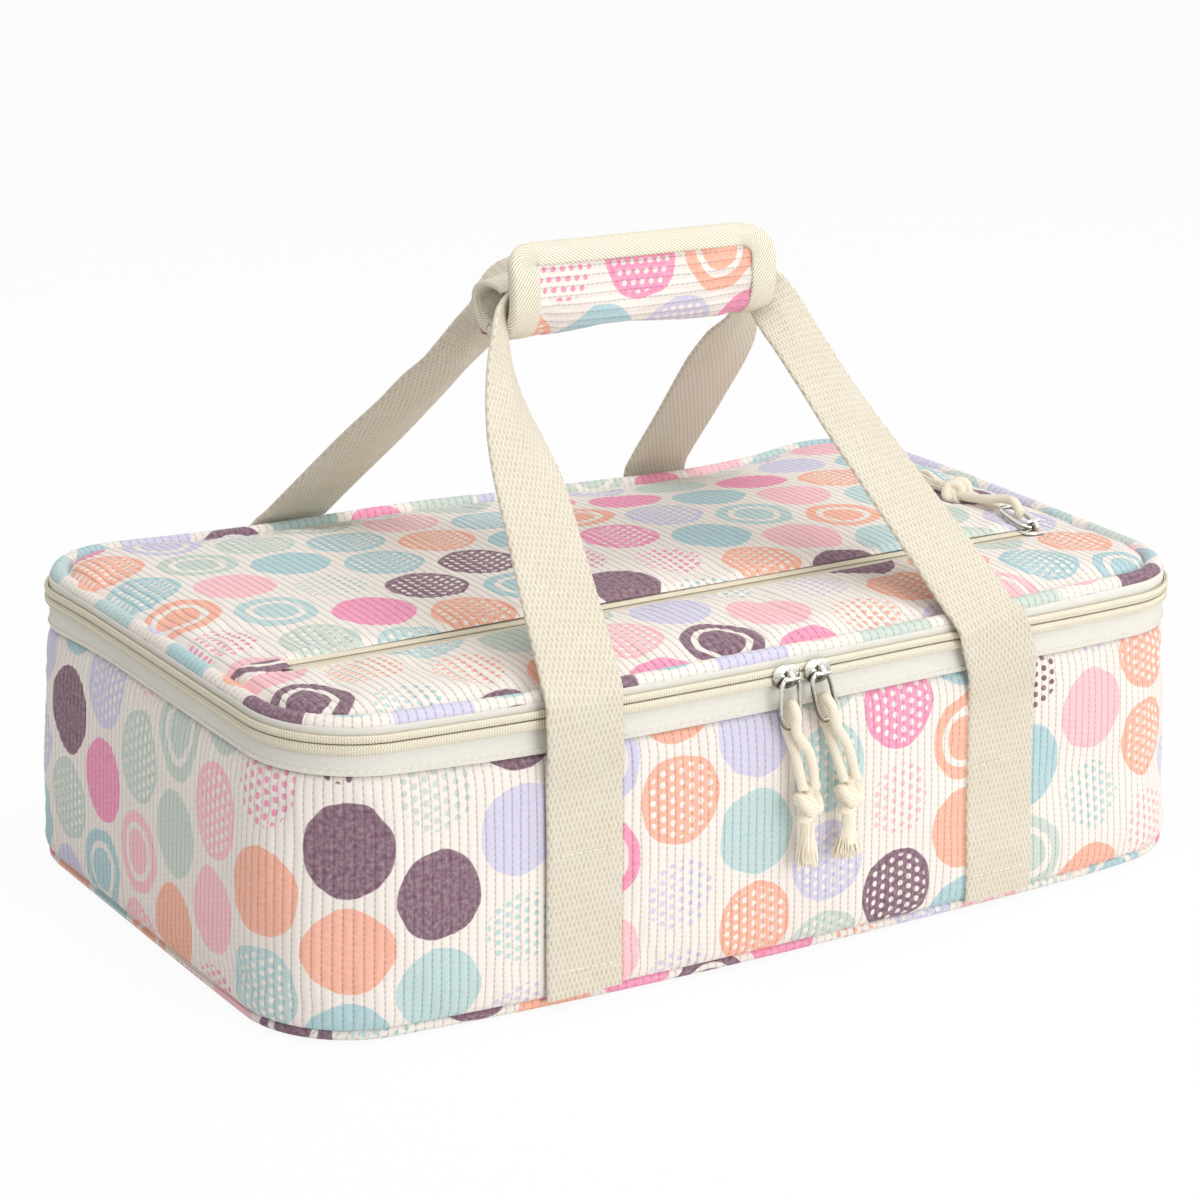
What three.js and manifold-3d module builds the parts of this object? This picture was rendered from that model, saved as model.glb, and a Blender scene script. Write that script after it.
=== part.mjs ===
import * as THREE from "three";
import { mergeVertices } from "three/addons/utils/BufferGeometryUtils.js";
import Module from "manifold-3d";

const wasm = await Module();
wasm.setup();

// Sizes in millimetres. X runs along the front, the front faces -Y, Z is up and the base rests at z = 0.

// Plan of the carrier at the zip: its length, and the depth of its ends from the straight back.
const RIM_LENGTH = 414;
const DEPTH = 250;
// How far the front bulges past its corners, and how much wider each side is at the base.
const BOW = 12.5;
const CORNER_R = 42;
const FLARE = 2.5;
// The soft back leans in by this much in the middle of its zip, and each end by this much at its zip.
const SLUMP = 12;
const END_LEAN = 3;

// Heights of the base seam, of the fold that tucks the wall in behind the tape, and of the zip's middle.
const SEAM_Z = 5;
const FOLD_Z = 95.5;
const ZIP_Z = 111;

// Sheet and padding thicknesses, and the clearance between two pieces that touch.
const FABRIC = 1.2;
const FOAM = 5;
const LID_FOAM = 4;
const LINING = 0.6;
const BOARD = 2;
const WEBBING = 2;
const GAP = 0.3;

// Zips: the tape, the half coil on it, the slot that the slider's neck runs in, and the slider itself.
const TAPE = 0.7;
const LOWER_TAPE_WIDTH = 13.2;
const UPPER_TAPE_WIDTH = 7.6;
const COIL_HEIGHT = 3.4;
const COIL_DEPTH = 1.9;
const COIL_SLOT = 1;
const PLATE = 1;
const SLIDER_LENGTH = 12;
const SLIDER_HEIGHT = 9;
const NECK = 0.5;
const EYE_OUT = 2.2;
// Half the width of the fabric hinge at the back, where the zip stops.
const HINGE_HALF = 130;
const LEFT_SLIDER_X = -9.5;
const RIGHT_SLIDER_X = 4.5;
// The eye that holds the ring sits this far above the middle of a main slider.
const EYE_UP = 2.5;

// Pocket zip on the lid, set in from the front, from the two ends and from the right end to its slider.
const POCKET_FRONT_IN = 76.5;
const POCKET_LEFT_IN = 27;
const POCKET_RIGHT_IN = 33;
const POCKET_SLIDER_IN = 42;
const POCKET_SLIT = 9.6;
const POCKET_TAPE_WIDTH = 11;
const POCKET_COIL_WIDTH = 2.6;
const POCKET_COIL_DEPTH = 1.5;
const TAB_WIDTH = 11;
const TAB_LENGTH = 20;

// Pulls: a wire ring, a doubled cord over its lower bar, a knot and a frayed tassel.
const RING_WIDTH = 10;
const RING_LENGTH = 19;
const WIRE_R = 0.9;
const CORD_R = 2;
const CORD_SPREAD = 2.6;
const CORD_DROP = 48.5;
// The doubled cord stands this far up inside the ring. Each knot hangs aside by its sway.
const LOOP_UP = 6;
const LEFT_SWAY = 7;
const RIGHT_SWAY = 11;
const POCKET_SWAY = 6;
// The right ring has slipped round in its eye by this angle.
const RIGHT_ROLL = THREE.MathUtils.degToRad(11);
const KNOT_R = 5.5;
const TASSEL_LENGTH = 19;
const TASSEL_R = 4.6;

// Straps: sewn flat on the wall from their foot to the stitch row, free above it.
const STRAP_X = 95;
const STRAP_WIDTH = 32;
const STRAP_FOOT_Z = 5;
const STITCH_Z = 62;
const BUNCHED_WIDTH = 18;
const BEND_R = 12;
// How far each strap, left and right, has slid along the lid's edge from where it is sewn.
const FRONT_SHIFT = [-2, -9];
const REAR_SHIFT = [10, 4];

// Grip: the middle of the wrapped handle, its length and how much lower its right end hangs. The wrap is
// padded, laps over on top with a hook and loop fastener, and folds open along its underside. The lap's edge
// is an angle round the grip, from the back over the top.
const GRIP_X = 0;
const GRIP_Y = -6;
const GRIP_Z = 239;
const GRIP_LENGTH = 120;
const GRIP_DROP = 1.5;
const WRAP_DEPTH = 45;
const WRAP_HEIGHT = 36;
const WRAP_PADDING = 5.5;
const WRAP_LAP = 2.2;
const LAP_EDGE = 98;
const WRAP_FOLD = 0.6;
const FASTENER = 0.5;
const BINDING_WIDTH = 9;
const BINDING = 0.8;

// Values that follow from the sizes above.
const ARC_R = ((RIM_LENGTH / 2) ** 2 + BOW ** 2) / (2 * BOW);
const BACK_Y = DEPTH / 2;
const FRONT_OUT = DEPTH / 2 + BOW;
const ARC_CENTRE = ARC_R - FRONT_OUT;
const CORNER_X = RIM_LENGTH / 2 - CORNER_R;
const CORNER_REACH = Math.sqrt((ARC_R - CORNER_R) ** 2 - CORNER_X ** 2);
const CORNER_Y = CORNER_REACH - ARC_CENTRE;
const TANGENT_X = (CORNER_X * ARC_R) / (ARC_R - CORNER_R);
const CORNER_TURN = Math.atan2(CORNER_REACH, CORNER_X);
const CORNER_STEPS = 5;
const BACK_STEPS = 20;
const FRONT_STEPS = 10;

const COIL_OUT = COIL_DEPTH + GAP;
const TUCK = TAPE + 2 * GAP;
const WALL_TOP_Z = FOLD_Z + 5;
const RIM_Z = ZIP_Z - SLIDER_HEIGHT / 2 + PLATE;
const FOAM_IN = FABRIC + GAP;

const POCKET_Y = POCKET_FRONT_IN - FRONT_OUT;
const POCKET_LEFT = POCKET_LEFT_IN - RIM_LENGTH / 2;
const POCKET_RIGHT = RIM_LENGTH / 2 - POCKET_RIGHT_IN;
const POCKET_SLIDER_X = RIM_LENGTH / 2 - POCKET_SLIDER_IN;

// The lid is a stack of layers above the zip.
const LID_LINING_Z = ZIP_Z + COIL_SLOT / 2 + GAP;
const LID_FOAM_Z = LID_LINING_Z + LINING + GAP;
const POCKET_LINING_Z = LID_FOAM_Z + LID_FOAM + GAP;
const POCKET_PLATE_Z = POCKET_LINING_Z + LINING + GAP;
const POCKET_COIL_Z = POCKET_PLATE_Z + PLATE + GAP;
const POCKET_TAPE_Z = POCKET_COIL_Z + POCKET_COIL_DEPTH + GAP;
const LID_PANEL_Z = POCKET_TAPE_Z + TAPE + GAP;
const LID_TOP_Z = LID_PANEL_Z + FABRIC;
const RIDGE_Z = LID_TOP_Z - 1;
const RIDGE_IN = 6;
const PANEL_IN = RIDGE_IN + FABRIC + 2 * GAP;

// One place on the plan outline: a point and the outward direction there.
function station(x, y, nx, ny) {
  return { point: new THREE.Vector2(x, y), out: new THREE.Vector2(nx, ny) };
}

// A place on the bowed front (side -1) or on the straight back (side 1).
function onSide(x, side) {
  if (side > 0) {
    return station(x, BACK_Y, 0, 1);
  }
  const reach = Math.sqrt(ARC_R ** 2 - x ** 2);
  return station(x, ARC_CENTRE - reach, x / ARC_R, -reach / ARC_R);
}

function sideRun(from, to, side, steps) {
  const run = [];
  for (let i = 0; i <= steps; i++) {
    run.push(onSide(from + ((to - from) * i) / steps, side));
  }
  return run;
}

// A rounded corner, from its end of the front or the back to the straight end of the carrier.
function cornerRun(sideX, sideY) {
  const centreY = sideY > 0 ? BACK_Y - CORNER_R : -CORNER_Y;
  const start = sideY > 0 ? Math.PI / 2 : CORNER_TURN;
  const run = [];
  for (let i = 0; i <= CORNER_STEPS; i++) {
    const turn = start * (1 - i / CORNER_STEPS);
    const nx = sideX * Math.cos(turn);
    const ny = sideY * Math.sin(turn);
    run.push(station(sideX * CORNER_X + nx * CORNER_R, centreY + ny * CORNER_R, nx, ny));
  }
  return run;
}

// The zip runs round from one end of the hinge to the other. The hinge closes the outline.
const zipRun = [
  ...sideRun(-HINGE_HALF, -CORNER_X, 1, 3).slice(0, -1),
  ...cornerRun(-1, 1),
  ...cornerRun(-1, -1).reverse(),
  ...sideRun(-TANGENT_X, TANGENT_X, -1, FRONT_STEPS).slice(1, -1),
  ...cornerRun(1, -1),
  ...cornerRun(1, 1).reverse(),
  ...sideRun(CORNER_X, HINGE_HALF, 1, 3).slice(1),
];
const hingeRun = sideRun(HINGE_HALF - GAP, GAP - HINGE_HALF, 1, BACK_STEPS);
const fullRun = [...zipRun, ...sideRun(HINGE_HALF, -HINGE_HALF, 1, BACK_STEPS).slice(1, -1)];

function place(where, inset, z) {
  return [where.point.x - where.out.x * inset, where.point.y - where.out.y * inset, z];
}

// A closed surface from points and triangles, turned so that it faces out.
function solid(points, triangles) {
  let volume = 0;
  for (let i = 0; i < triangles.length; i += 3) {
    const [a, b, c] = [0, 1, 2].map((k) => new THREE.Vector3(...points[triangles[i + k]]));
    volume += a.dot(b.cross(c));
  }
  const index = volume < 0 ? [...triangles].reverse() : triangles;
  const geometry = new THREE.BufferGeometry();
  geometry.setAttribute("position", new THREE.Float32BufferAttribute(points.flat(), 3));
  geometry.setIndex(index);
  geometry.computeVertexNormals();
  return geometry;
}

// Rows of points joined into a skin. Each row is a ring; a closed skin joins its last row to its first.
// Every four-sided field is split the same way up, so that neighbouring layers stay side by side.
function skin(rows, closed) {
  const width = rows[0].length;
  const count = closed ? rows.length : rows.length - 1;
  const triangles = [];
  for (let i = 0; i < count; i++) {
    const next = (i + 1) % rows.length;
    for (let k = 0; k < width; k++) {
      const beside = (k + 1) % width;
      const a = i * width + k;
      const b = next * width + k;
      const c = next * width + beside;
      const d = i * width + beside;
      if (rows[next][beside][2] >= rows[i][k][2]) {
        triangles.push(a, b, c, a, c, d);
      } else {
        triangles.push(a, b, d, b, c, d);
      }
    }
  }
  return triangles;
}

// A band round the outline with the same section all along. The section holds [inset, z] pairs.
function band(run, section, closed) {
  const rows = run.map((where) => section.map(([inset, z]) => place(where, inset, z)));
  const triangles = skin(rows, closed);
  if (!closed) {
    const faces = THREE.ShapeUtils.triangulateShape(
      section.map(([inset, z]) => new THREE.Vector2(inset, z)),
      [],
    );
    const last = (rows.length - 1) * section.length;
    const turned = THREE.ShapeUtils.isClockWise(section.map(([inset, z]) => ({ x: inset, y: z })));
    for (const [a, b, c] of faces) {
      const start = turned ? [a, b, c] : [a, c, b];
      triangles.push(...start.slice().reverse());
      triangles.push(...start.map((k) => k + last));
    }
  }
  return solid(rows.flat(), triangles);
}

// A plate or a dish: rings of [inset, z] from the middle of its underside round to the middle of its top.
function dish(section) {
  const rows = section.map(([inset, z]) => fullRun.map((where) => place(where, inset, z)));
  const points = rows.flat();
  const triangles = skin(rows, false);
  const width = fullRun.length;
  const under = points.length;
  points.push([0, 0, section[0][1]], [0, 0, section[section.length - 1][1]]);
  const last = (rows.length - 1) * width;
  for (let k = 0; k < width; k++) {
    const beside = (k + 1) % width;
    triangles.push(k, beside, under);
    triangles.push(last + beside, last + k, under + 1);
  }
  return solid(points, triangles);
}

function box(x0, x1, y0, y1, z0, z1) {
  const geometry = new THREE.BoxGeometry(x1 - x0, y1 - y0, z1 - z0);
  return geometry.translate((x0 + x1) / 2, (y0 + y1) / 2, (z0 + z1) / 2);
}

// Boolean helpers.
function toBody(geometry) {
  const bare = new THREE.BufferGeometry();
  bare.setAttribute("position", geometry.getAttribute("position"));
  bare.setIndex(geometry.index);
  const merged = mergeVertices(bare, 1e-4);
  return new wasm.Manifold(
    new wasm.Mesh({
      numProp: 3,
      vertProperties: new Float32Array(merged.attributes.position.array),
      triVerts: new Uint32Array(merged.index.array),
    }),
  );
}

function fromBody(body) {
  const mesh = body.getMesh();
  const geometry = new THREE.BufferGeometry();
  geometry.setAttribute("position", new THREE.BufferAttribute(mesh.vertProperties, 3));
  geometry.setIndex(new THREE.BufferAttribute(mesh.triVerts, 1));
  geometry.computeVertexNormals();
  return geometry;
}

const colours = {
  print: 0xf0e2d8,
  cream: 0xebe2d0,
  lining: 0xefece4,
  foam: 0xd8d8d4,
  board: 0xb8b0a0,
  coil: 0xf0e4be,
  metal: 0xc8ccd0,
  cord: 0xe6d8bc,
};

const carrier = new THREE.Group();
carrier.name = "casserole_carrier";

// How far the soft sides have leaned in at a place: nothing at the base, all of it from the zip up.
function slump(geometry) {
  const spot = geometry.getAttribute("position");
  const half = RIM_LENGTH / 2;
  for (let i = 0; i < spot.count; i++) {
    const [x, y, z] = [spot.getX(i), spot.getY(i), spot.getZ(i)];
    const high = THREE.MathUtils.clamp((z - SEAM_Z) / (ZIP_Z - SEAM_Z), 0, 1);
    const behind = THREE.MathUtils.smoothstep(y, BACK_Y / 6, BACK_Y - 15);
    const middle = Math.max(0, 1 - (x / half) ** 2);
    spot.setX(i, x - Math.sign(x) * END_LEAN * high * (x / half) ** 4);
    spot.setY(i, y - SLUMP * high * behind * middle);
  }
  geometry.computeVertexNormals();
}

function add(name, geometry, colour, parent = carrier) {
  if (parent === carrier) {
    slump(geometry);
  }
  const steel = colour === "metal";
  const material = new THREE.MeshStandardMaterial({
    color: colours[colour],
    roughness: steel ? 0.25 : 0.85,
    metalness: steel ? 1 : 0,
  });
  const mesh = new THREE.Mesh(geometry, material);
  mesh.name = name;
  parent.add(mesh);
}

// How far the wall stands outside the rim outline at a height.
function flareAt(z) {
  return (FLARE * (FOLD_Z - z)) / (FOLD_Z - SEAM_Z);
}

// Tub: base, walls, padding and lining.
const foot = SEAM_Z + GAP;
const lining = FOAM_IN + FOAM + GAP;
const floorZ = FABRIC + GAP + BOARD + GAP + FOAM + GAP;
add(
  "base_panel",
  dish([
    [8, 0],
    [2.4 - FLARE, 0.8],
    [0.5 - FLARE, 2.4],
    [-FLARE, SEAM_Z],
    [FABRIC - FLARE, SEAM_Z],
    [FABRIC + 0.6 - FLARE, 3.2],
    [8, FABRIC],
  ]),
  "print",
);
add("base_board", dish([[10, FABRIC + GAP], [10, FABRIC + GAP + BOARD]]), "board");
const baseFoamZ = FABRIC + BOARD + 2 * GAP;
add("base_foam", dish([[lining, baseFoamZ], [lining, baseFoamZ + FOAM]]), "foam");
add(
  "wall_outer",
  band(
    fullRun,
    [
      [-FLARE, foot],
      [0, FOLD_Z],
      [TUCK, FOLD_Z + 1.5],
      [TUCK, WALL_TOP_Z],
      [TUCK + FABRIC, WALL_TOP_Z],
      [TUCK + FABRIC, FOLD_Z + 2],
      [FABRIC, FOLD_Z],
      [FABRIC - FLARE, foot],
    ],
    true,
  ),
  "print",
);
const foamTuck = TUCK + FABRIC + GAP;
add(
  "wall_foam",
  band(
    fullRun,
    [
      [FOAM_IN - FLARE, foot],
      [FOAM_IN, FOLD_Z - 1],
      [foamTuck, FOLD_Z + 2],
      [foamTuck, RIM_Z],
      [foamTuck + FOAM, RIM_Z],
      [foamTuck + FOAM, FOLD_Z + 2],
      [FOAM_IN + FOAM, FOLD_Z - 1],
      [FOAM_IN + FOAM - FLARE, foot],
    ],
    true,
  ),
  "foam",
);
const liningTuck = foamTuck + FOAM + GAP;
add(
  "lining_tub",
  dish([
    [lining, floorZ],
    [lining, FOLD_Z - 1],
    [liningTuck, FOLD_Z + 2],
    [liningTuck, RIM_Z],
    [liningTuck + LINING, RIM_Z],
    [liningTuck + LINING, FOLD_Z + 2],
    [lining + LINING, FOLD_Z - 1],
    [lining + LINING, floorZ + LINING],
  ]),
  "lining",
);
add(
  "rim_binding",
  band(
    fullRun,
    [
      [foamTuck, RIM_Z + GAP],
      [foamTuck, RIM_Z + GAP + FABRIC],
      [liningTuck + LINING, RIM_Z + GAP + FABRIC],
      [liningTuck + LINING, RIM_Z + GAP],
    ],
    true,
  ),
  "cream",
);

// Both halves of the main zip and the fabric hinge at the back.
const lowerCoilTop = ZIP_Z - COIL_SLOT / 2;
const upperCoilFoot = ZIP_Z + COIL_SLOT / 2;
function strip(inset0, inset1, z0, z1) {
  return [
    [inset0, z0],
    [inset0, z1],
    [inset1, z1],
    [inset1, z0],
  ];
}
const lowerTapeFoot = lowerCoilTop - LOWER_TAPE_WIDTH;
const upperTapeTop = upperCoilFoot + UPPER_TAPE_WIDTH;
add("lower_zip_tape", band(zipRun, strip(0, TAPE, lowerTapeFoot, lowerCoilTop), false), "cream");
add("upper_zip_tape", band(zipRun, strip(0, TAPE, upperCoilFoot, upperTapeTop), false), "cream");
add(
  "lower_zip_coil",
  band(zipRun, strip(-COIL_OUT, -GAP, lowerCoilTop - COIL_HEIGHT, lowerCoilTop), false),
  "coil",
);
add(
  "upper_zip_coil",
  band(zipRun, strip(-COIL_OUT, -GAP, upperCoilFoot, upperCoilFoot + COIL_HEIGHT), false),
  "coil",
);
add("hinge_panel", band(hingeRun, strip(0, TAPE, lowerTapeFoot, upperTapeTop), false), "print");

// Lid: gusset ridge, two top panels with the pocket zip between them, padding and lining.
const gussetIn = TAPE + GAP;
const gussetFoot = ZIP_Z + SLIDER_HEIGHT / 2 + GAP;
add(
  "lid_gusset",
  band(
    fullRun,
    [
      [gussetIn, gussetFoot],
      [gussetIn, upperTapeTop],
      [gussetIn + 1.4, RIDGE_Z - 2.4],
      [gussetIn + 4.2, RIDGE_Z - 0.4],
      [RIDGE_IN, RIDGE_Z],
      [RIDGE_IN + FABRIC, RIDGE_Z - 1],
      [RIDGE_IN, RIDGE_Z - FABRIC],
      [gussetIn + 4.6, RIDGE_Z - 0.4 - FABRIC],
      [gussetIn + 2.4, RIDGE_Z - 2.4 - FABRIC],
      [gussetIn + FABRIC, upperTapeTop - 0.6],
      [gussetIn + FABRIC, gussetFoot],
    ],
    true,
  ),
  "print",
);
const lidTop = toBody(
  dish([
    [PANEL_IN + 17, LID_PANEL_Z],
    [PANEL_IN + 7, LID_PANEL_Z - 0.6],
    [PANEL_IN, LID_PANEL_Z - 2.3],
    [PANEL_IN, LID_TOP_Z - 2.3],
    [PANEL_IN + 7, LID_TOP_Z - 0.6],
    [PANEL_IN + 17, LID_TOP_Z],
  ]),
);
const slit = toBody(
  box(
    POCKET_LEFT,
    POCKET_RIGHT,
    POCKET_Y - POCKET_SLIT / 2,
    POCKET_Y + POCKET_SLIT / 2,
    LID_PANEL_Z - 5,
    LID_TOP_Z + 5,
  ),
);
const ahead = box(
  -RIM_LENGTH,
  RIM_LENGTH,
  -RIM_LENGTH,
  POCKET_Y + GAP / 2,
  LID_PANEL_Z - 5,
  LID_TOP_Z + 5,
);
const behind = box(
  -RIM_LENGTH,
  RIM_LENGTH,
  POCKET_Y - GAP / 2,
  RIM_LENGTH,
  LID_PANEL_Z - 5,
  LID_TOP_Z + 5,
);
add("lid_rear_panel", fromBody(lidTop.subtract(slit).subtract(toBody(ahead))), "print");
add("lid_front_panel", fromBody(lidTop.subtract(slit).subtract(toBody(behind))), "print");
const lidFoamIn = gussetIn + FABRIC + GAP + 5.4;
add("lid_foam", dish([[lidFoamIn, LID_FOAM_Z], [lidFoamIn, LID_FOAM_Z + LID_FOAM]]), "foam");
const lidLiningIn = TAPE + PLATE + 3 * GAP;
add(
  "lid_lining",
  dish([[lidLiningIn, LID_LINING_Z], [lidLiningIn, LID_LINING_Z + LINING]]),
  "lining",
);
add(
  "lid_binding",
  band(fullRun, strip(lidLiningIn, lidFoamIn - GAP, LID_FOAM_Z, LID_FOAM_Z + 2.4), true),
  "cream",
);
add(
  "pocket_lining",
  dish([[PANEL_IN + 1, POCKET_LINING_Z], [PANEL_IN + 1, POCKET_LINING_Z + LINING]]),
  "lining",
);

// Pocket zip: tape uppermost, coil beneath it, a sewn tab over its left end.
const tapeRight = POCKET_RIGHT + 4;
const neckGap = NECK / 2 + GAP / 2;
const rearTapeY = POCKET_Y + neckGap;
const frontTapeY = POCKET_Y - neckGap;
const tapeTopZ = POCKET_TAPE_Z + TAPE;
const coilTopZ = POCKET_COIL_Z + POCKET_COIL_DEPTH;
add(
  "pocket_tape_rear",
  box(POCKET_LEFT, tapeRight, rearTapeY, rearTapeY + POCKET_TAPE_WIDTH, POCKET_TAPE_Z, tapeTopZ),
  "cream",
);
add(
  "pocket_tape_front",
  box(POCKET_LEFT, tapeRight, frontTapeY - POCKET_TAPE_WIDTH, frontTapeY, POCKET_TAPE_Z, tapeTopZ),
  "cream",
);
add(
  "pocket_coil_rear",
  box(POCKET_LEFT, tapeRight, rearTapeY, rearTapeY + POCKET_COIL_WIDTH, POCKET_COIL_Z, coilTopZ),
  "coil",
);
add(
  "pocket_coil_front",
  box(POCKET_LEFT, tapeRight, frontTapeY - POCKET_COIL_WIDTH, frontTapeY, POCKET_COIL_Z, coilTopZ),
  "coil",
);
const tabRise = GAP + 0.05;
const tabEnd = PANEL_IN + 0.7 + TAB_LENGTH;
add(
  "pocket_end_tab",
  band(
    [
      station(-RIM_LENGTH / 2, POCKET_Y + TAB_WIDTH / 2, -1, 0),
      station(-RIM_LENGTH / 2, POCKET_Y - TAB_WIDTH / 2, -1, 0),
    ],
    [
      [PANEL_IN + 0.7, LID_TOP_Z - 2.1 + tabRise],
      [PANEL_IN + 7, LID_TOP_Z - 0.5 + tabRise],
      [PANEL_IN + 17, LID_TOP_Z + tabRise],
      [tabEnd, LID_TOP_Z + tabRise],
      [tabEnd, LID_TOP_Z + tabRise + FABRIC],
      [PANEL_IN + 17, LID_TOP_Z + tabRise + FABRIC],
      [PANEL_IN + 7, LID_TOP_Z - 0.5 + tabRise + FABRIC],
      [PANEL_IN + 0.7, LID_TOP_Z - 2.1 + tabRise + FABRIC],
    ],
    false,
  ),
  "print",
);

// A zip slider. Its travel is along X and its face looks to -Y; y = 0 is the face of the tape.
function sliderShape(front, back, lift) {
  const half = SLIDER_LENGTH / 2;
  const tall = SLIDER_HEIGHT / 2;
  const face = toBody(box(-half, half, -front - PLATE, -front, -tall, tall));
  const rear = toBody(box(-half, half, back, back + PLATE, -tall, tall));
  const neck = toBody(box(-half, half, -front - PLATE / 2, back + PLATE / 2, -NECK / 2, NECK / 2));
  const reach = EYE_OUT + WIRE_R + GAP + PLATE;
  const open = WIRE_R + GAP;
  const eye = new THREE.Shape();
  eye.moveTo(-PLATE / 2, -open - PLATE);
  eye.lineTo(reach - 1, -open - PLATE);
  eye.lineTo(reach, -open);
  eye.lineTo(reach, open);
  eye.lineTo(reach - 1, open + PLATE);
  eye.lineTo(-PLATE / 2, open + PLATE);
  const hole = new THREE.Path();
  hole.absarc(EYE_OUT, 0, open, 0, 2 * Math.PI, true);
  eye.holes.push(hole);
  const bail = new THREE.ExtrudeGeometry(eye, { depth: 3, bevelEnabled: false, curveSegments: 5 });
  bail.translate(0, 0, -1.5);
  bail.rotateY(Math.PI / 2);
  bail.rotateX(-Math.PI / 2);
  bail.translate(0, -front - PLATE, lift);
  return fromBody(face.add(rear).add(neck).add(toBody(bail)));
}

// A wire ring hanging down from its upper bar, its lower bar leaning out.
class RingCurve extends THREE.Curve {
  constructor(lean, roll) {
    super();
    this.lean = lean;
    this.roll = roll;
  }
  getPoint(t, target = new THREE.Vector3()) {
    const c = Math.cos(2 * Math.PI * t);
    const s = Math.sin(2 * Math.PI * t);
    const x = (RING_WIDTH / 2 - WIRE_R) * Math.sign(c) * Math.abs(c) ** 0.6;
    const drop = (RING_LENGTH / 2) * (1 + Math.sign(s) * Math.abs(s) ** 0.6);
    target.set(x, (-this.lean * drop) / RING_LENGTH, -drop);
    return rolled(target, this.roll);
  }
}

// Turns a point of a ring, or of the cord in it, about the middle of the ring's upper bend.
function rolled(point, roll) {
  const down = -point.z - RING_WIDTH / 2;
  const x = point.x * Math.cos(roll) + down * Math.sin(roll);
  const z = point.x * Math.sin(roll) - down * Math.cos(roll);
  return point.set(x, point.y, z - RING_WIDTH / 2);
}

// One pull, with the ring's upper bar at the origin. The lean and the stand are outward offsets
// of the ring's lower bar and of the knot; the sway is the knot's offset to the right.
function pull(prefix, lean, stand, sway, roll) {
  const group = new THREE.Group();
  add(
    `${prefix}_pull_ring`,
    new THREE.TubeGeometry(new RingCurve(lean, roll), 24, WIRE_R, 6, true),
    "metal",
    group,
  );
  const turn = CORD_R + WIRE_R + 2 * GAP;
  const end = CORD_DROP - KNOT_R - GAP;
  const path = new THREE.CatmullRomCurve3([
    new THREE.Vector3(sway - CORD_SPREAD, -stand, -end),
    new THREE.Vector3(
      sway * 0.68 - CORD_SPREAD * 0.8,
      -stand * 0.5 - (lean - turn) * 0.5,
      -RING_LENGTH - 10,
    ),
    rolled(new THREE.Vector3(0, -lean + turn, -RING_LENGTH), roll),
    rolled(new THREE.Vector3(0, -lean + turn, -RING_LENGTH + LOOP_UP), roll),
    rolled(new THREE.Vector3(0, -lean, -RING_LENGTH + LOOP_UP + turn), roll),
    rolled(new THREE.Vector3(0, -lean - turn, -RING_LENGTH + LOOP_UP), roll),
    rolled(new THREE.Vector3(0, -lean - turn, -RING_LENGTH), roll),
    new THREE.Vector3(
      sway * 0.68 + CORD_SPREAD * 0.8,
      -stand * 0.5 - (lean + turn) * 0.5,
      -RING_LENGTH - 10,
    ),
    new THREE.Vector3(sway + CORD_SPREAD, -stand, -end),
  ]);
  const round = new THREE.Shape();
  round.absarc(0, 0, CORD_R, 0, 2 * Math.PI, false);
  const cord = new THREE.ExtrudeGeometry(round, {
    steps: 24,
    extrudePath: path,
    bevelEnabled: false,
    curveSegments: 4,
  });
  add(`${prefix}_pull_cord`, cord, "cord", group);
  const knot = new THREE.SphereGeometry(KNOT_R, 10, 8);
  knot.translate(sway, -stand, -CORD_DROP);
  add(`${prefix}_pull_knot`, knot, "cord", group);
  const top = -CORD_DROP - KNOT_R - GAP;
  const outline = [
    new THREE.Vector2(0, -TASSEL_LENGTH),
    new THREE.Vector2(TASSEL_R * 0.9, -TASSEL_LENGTH),
    new THREE.Vector2(TASSEL_R, -TASSEL_LENGTH * 0.7),
    new THREE.Vector2(TASSEL_R * 0.6, 0),
    new THREE.Vector2(0, 0),
  ];
  const tassel = new THREE.LatheGeometry(outline, 10);
  tassel.rotateX(Math.PI / 2);
  tassel.translate(sway, -stand, top);
  add(`${prefix}_pull_tassel`, tassel, "cord", group);
  return group;
}

// Two sliders meet at the middle of the front.
const mainFront = COIL_OUT + GAP;
const eyeDepth = mainFront + PLATE + EYE_OUT;
for (const [prefix, x, sway, roll] of [
  ["left", LEFT_SLIDER_X, LEFT_SWAY, 0],
  ["right", RIGHT_SLIDER_X, RIGHT_SWAY, RIGHT_ROLL],
]) {
  const where = onSide(x, -1);
  const group = new THREE.Group();
  group.position.set(where.point.x, where.point.y, ZIP_Z);
  group.rotation.z = Math.asin(x / ARC_R);
  add(`${prefix}_slider`, sliderShape(mainFront, TAPE + GAP, EYE_UP), "metal", group);
  const stand = KNOT_R - eyeDepth + WEBBING + 2 * GAP + FLARE + 0.6;
  const hanging = pull(prefix, 1, stand, sway, roll);
  hanging.position.set(0, -eyeDepth, EYE_UP);
  group.add(hanging);
  carrier.add(group);
}

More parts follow.
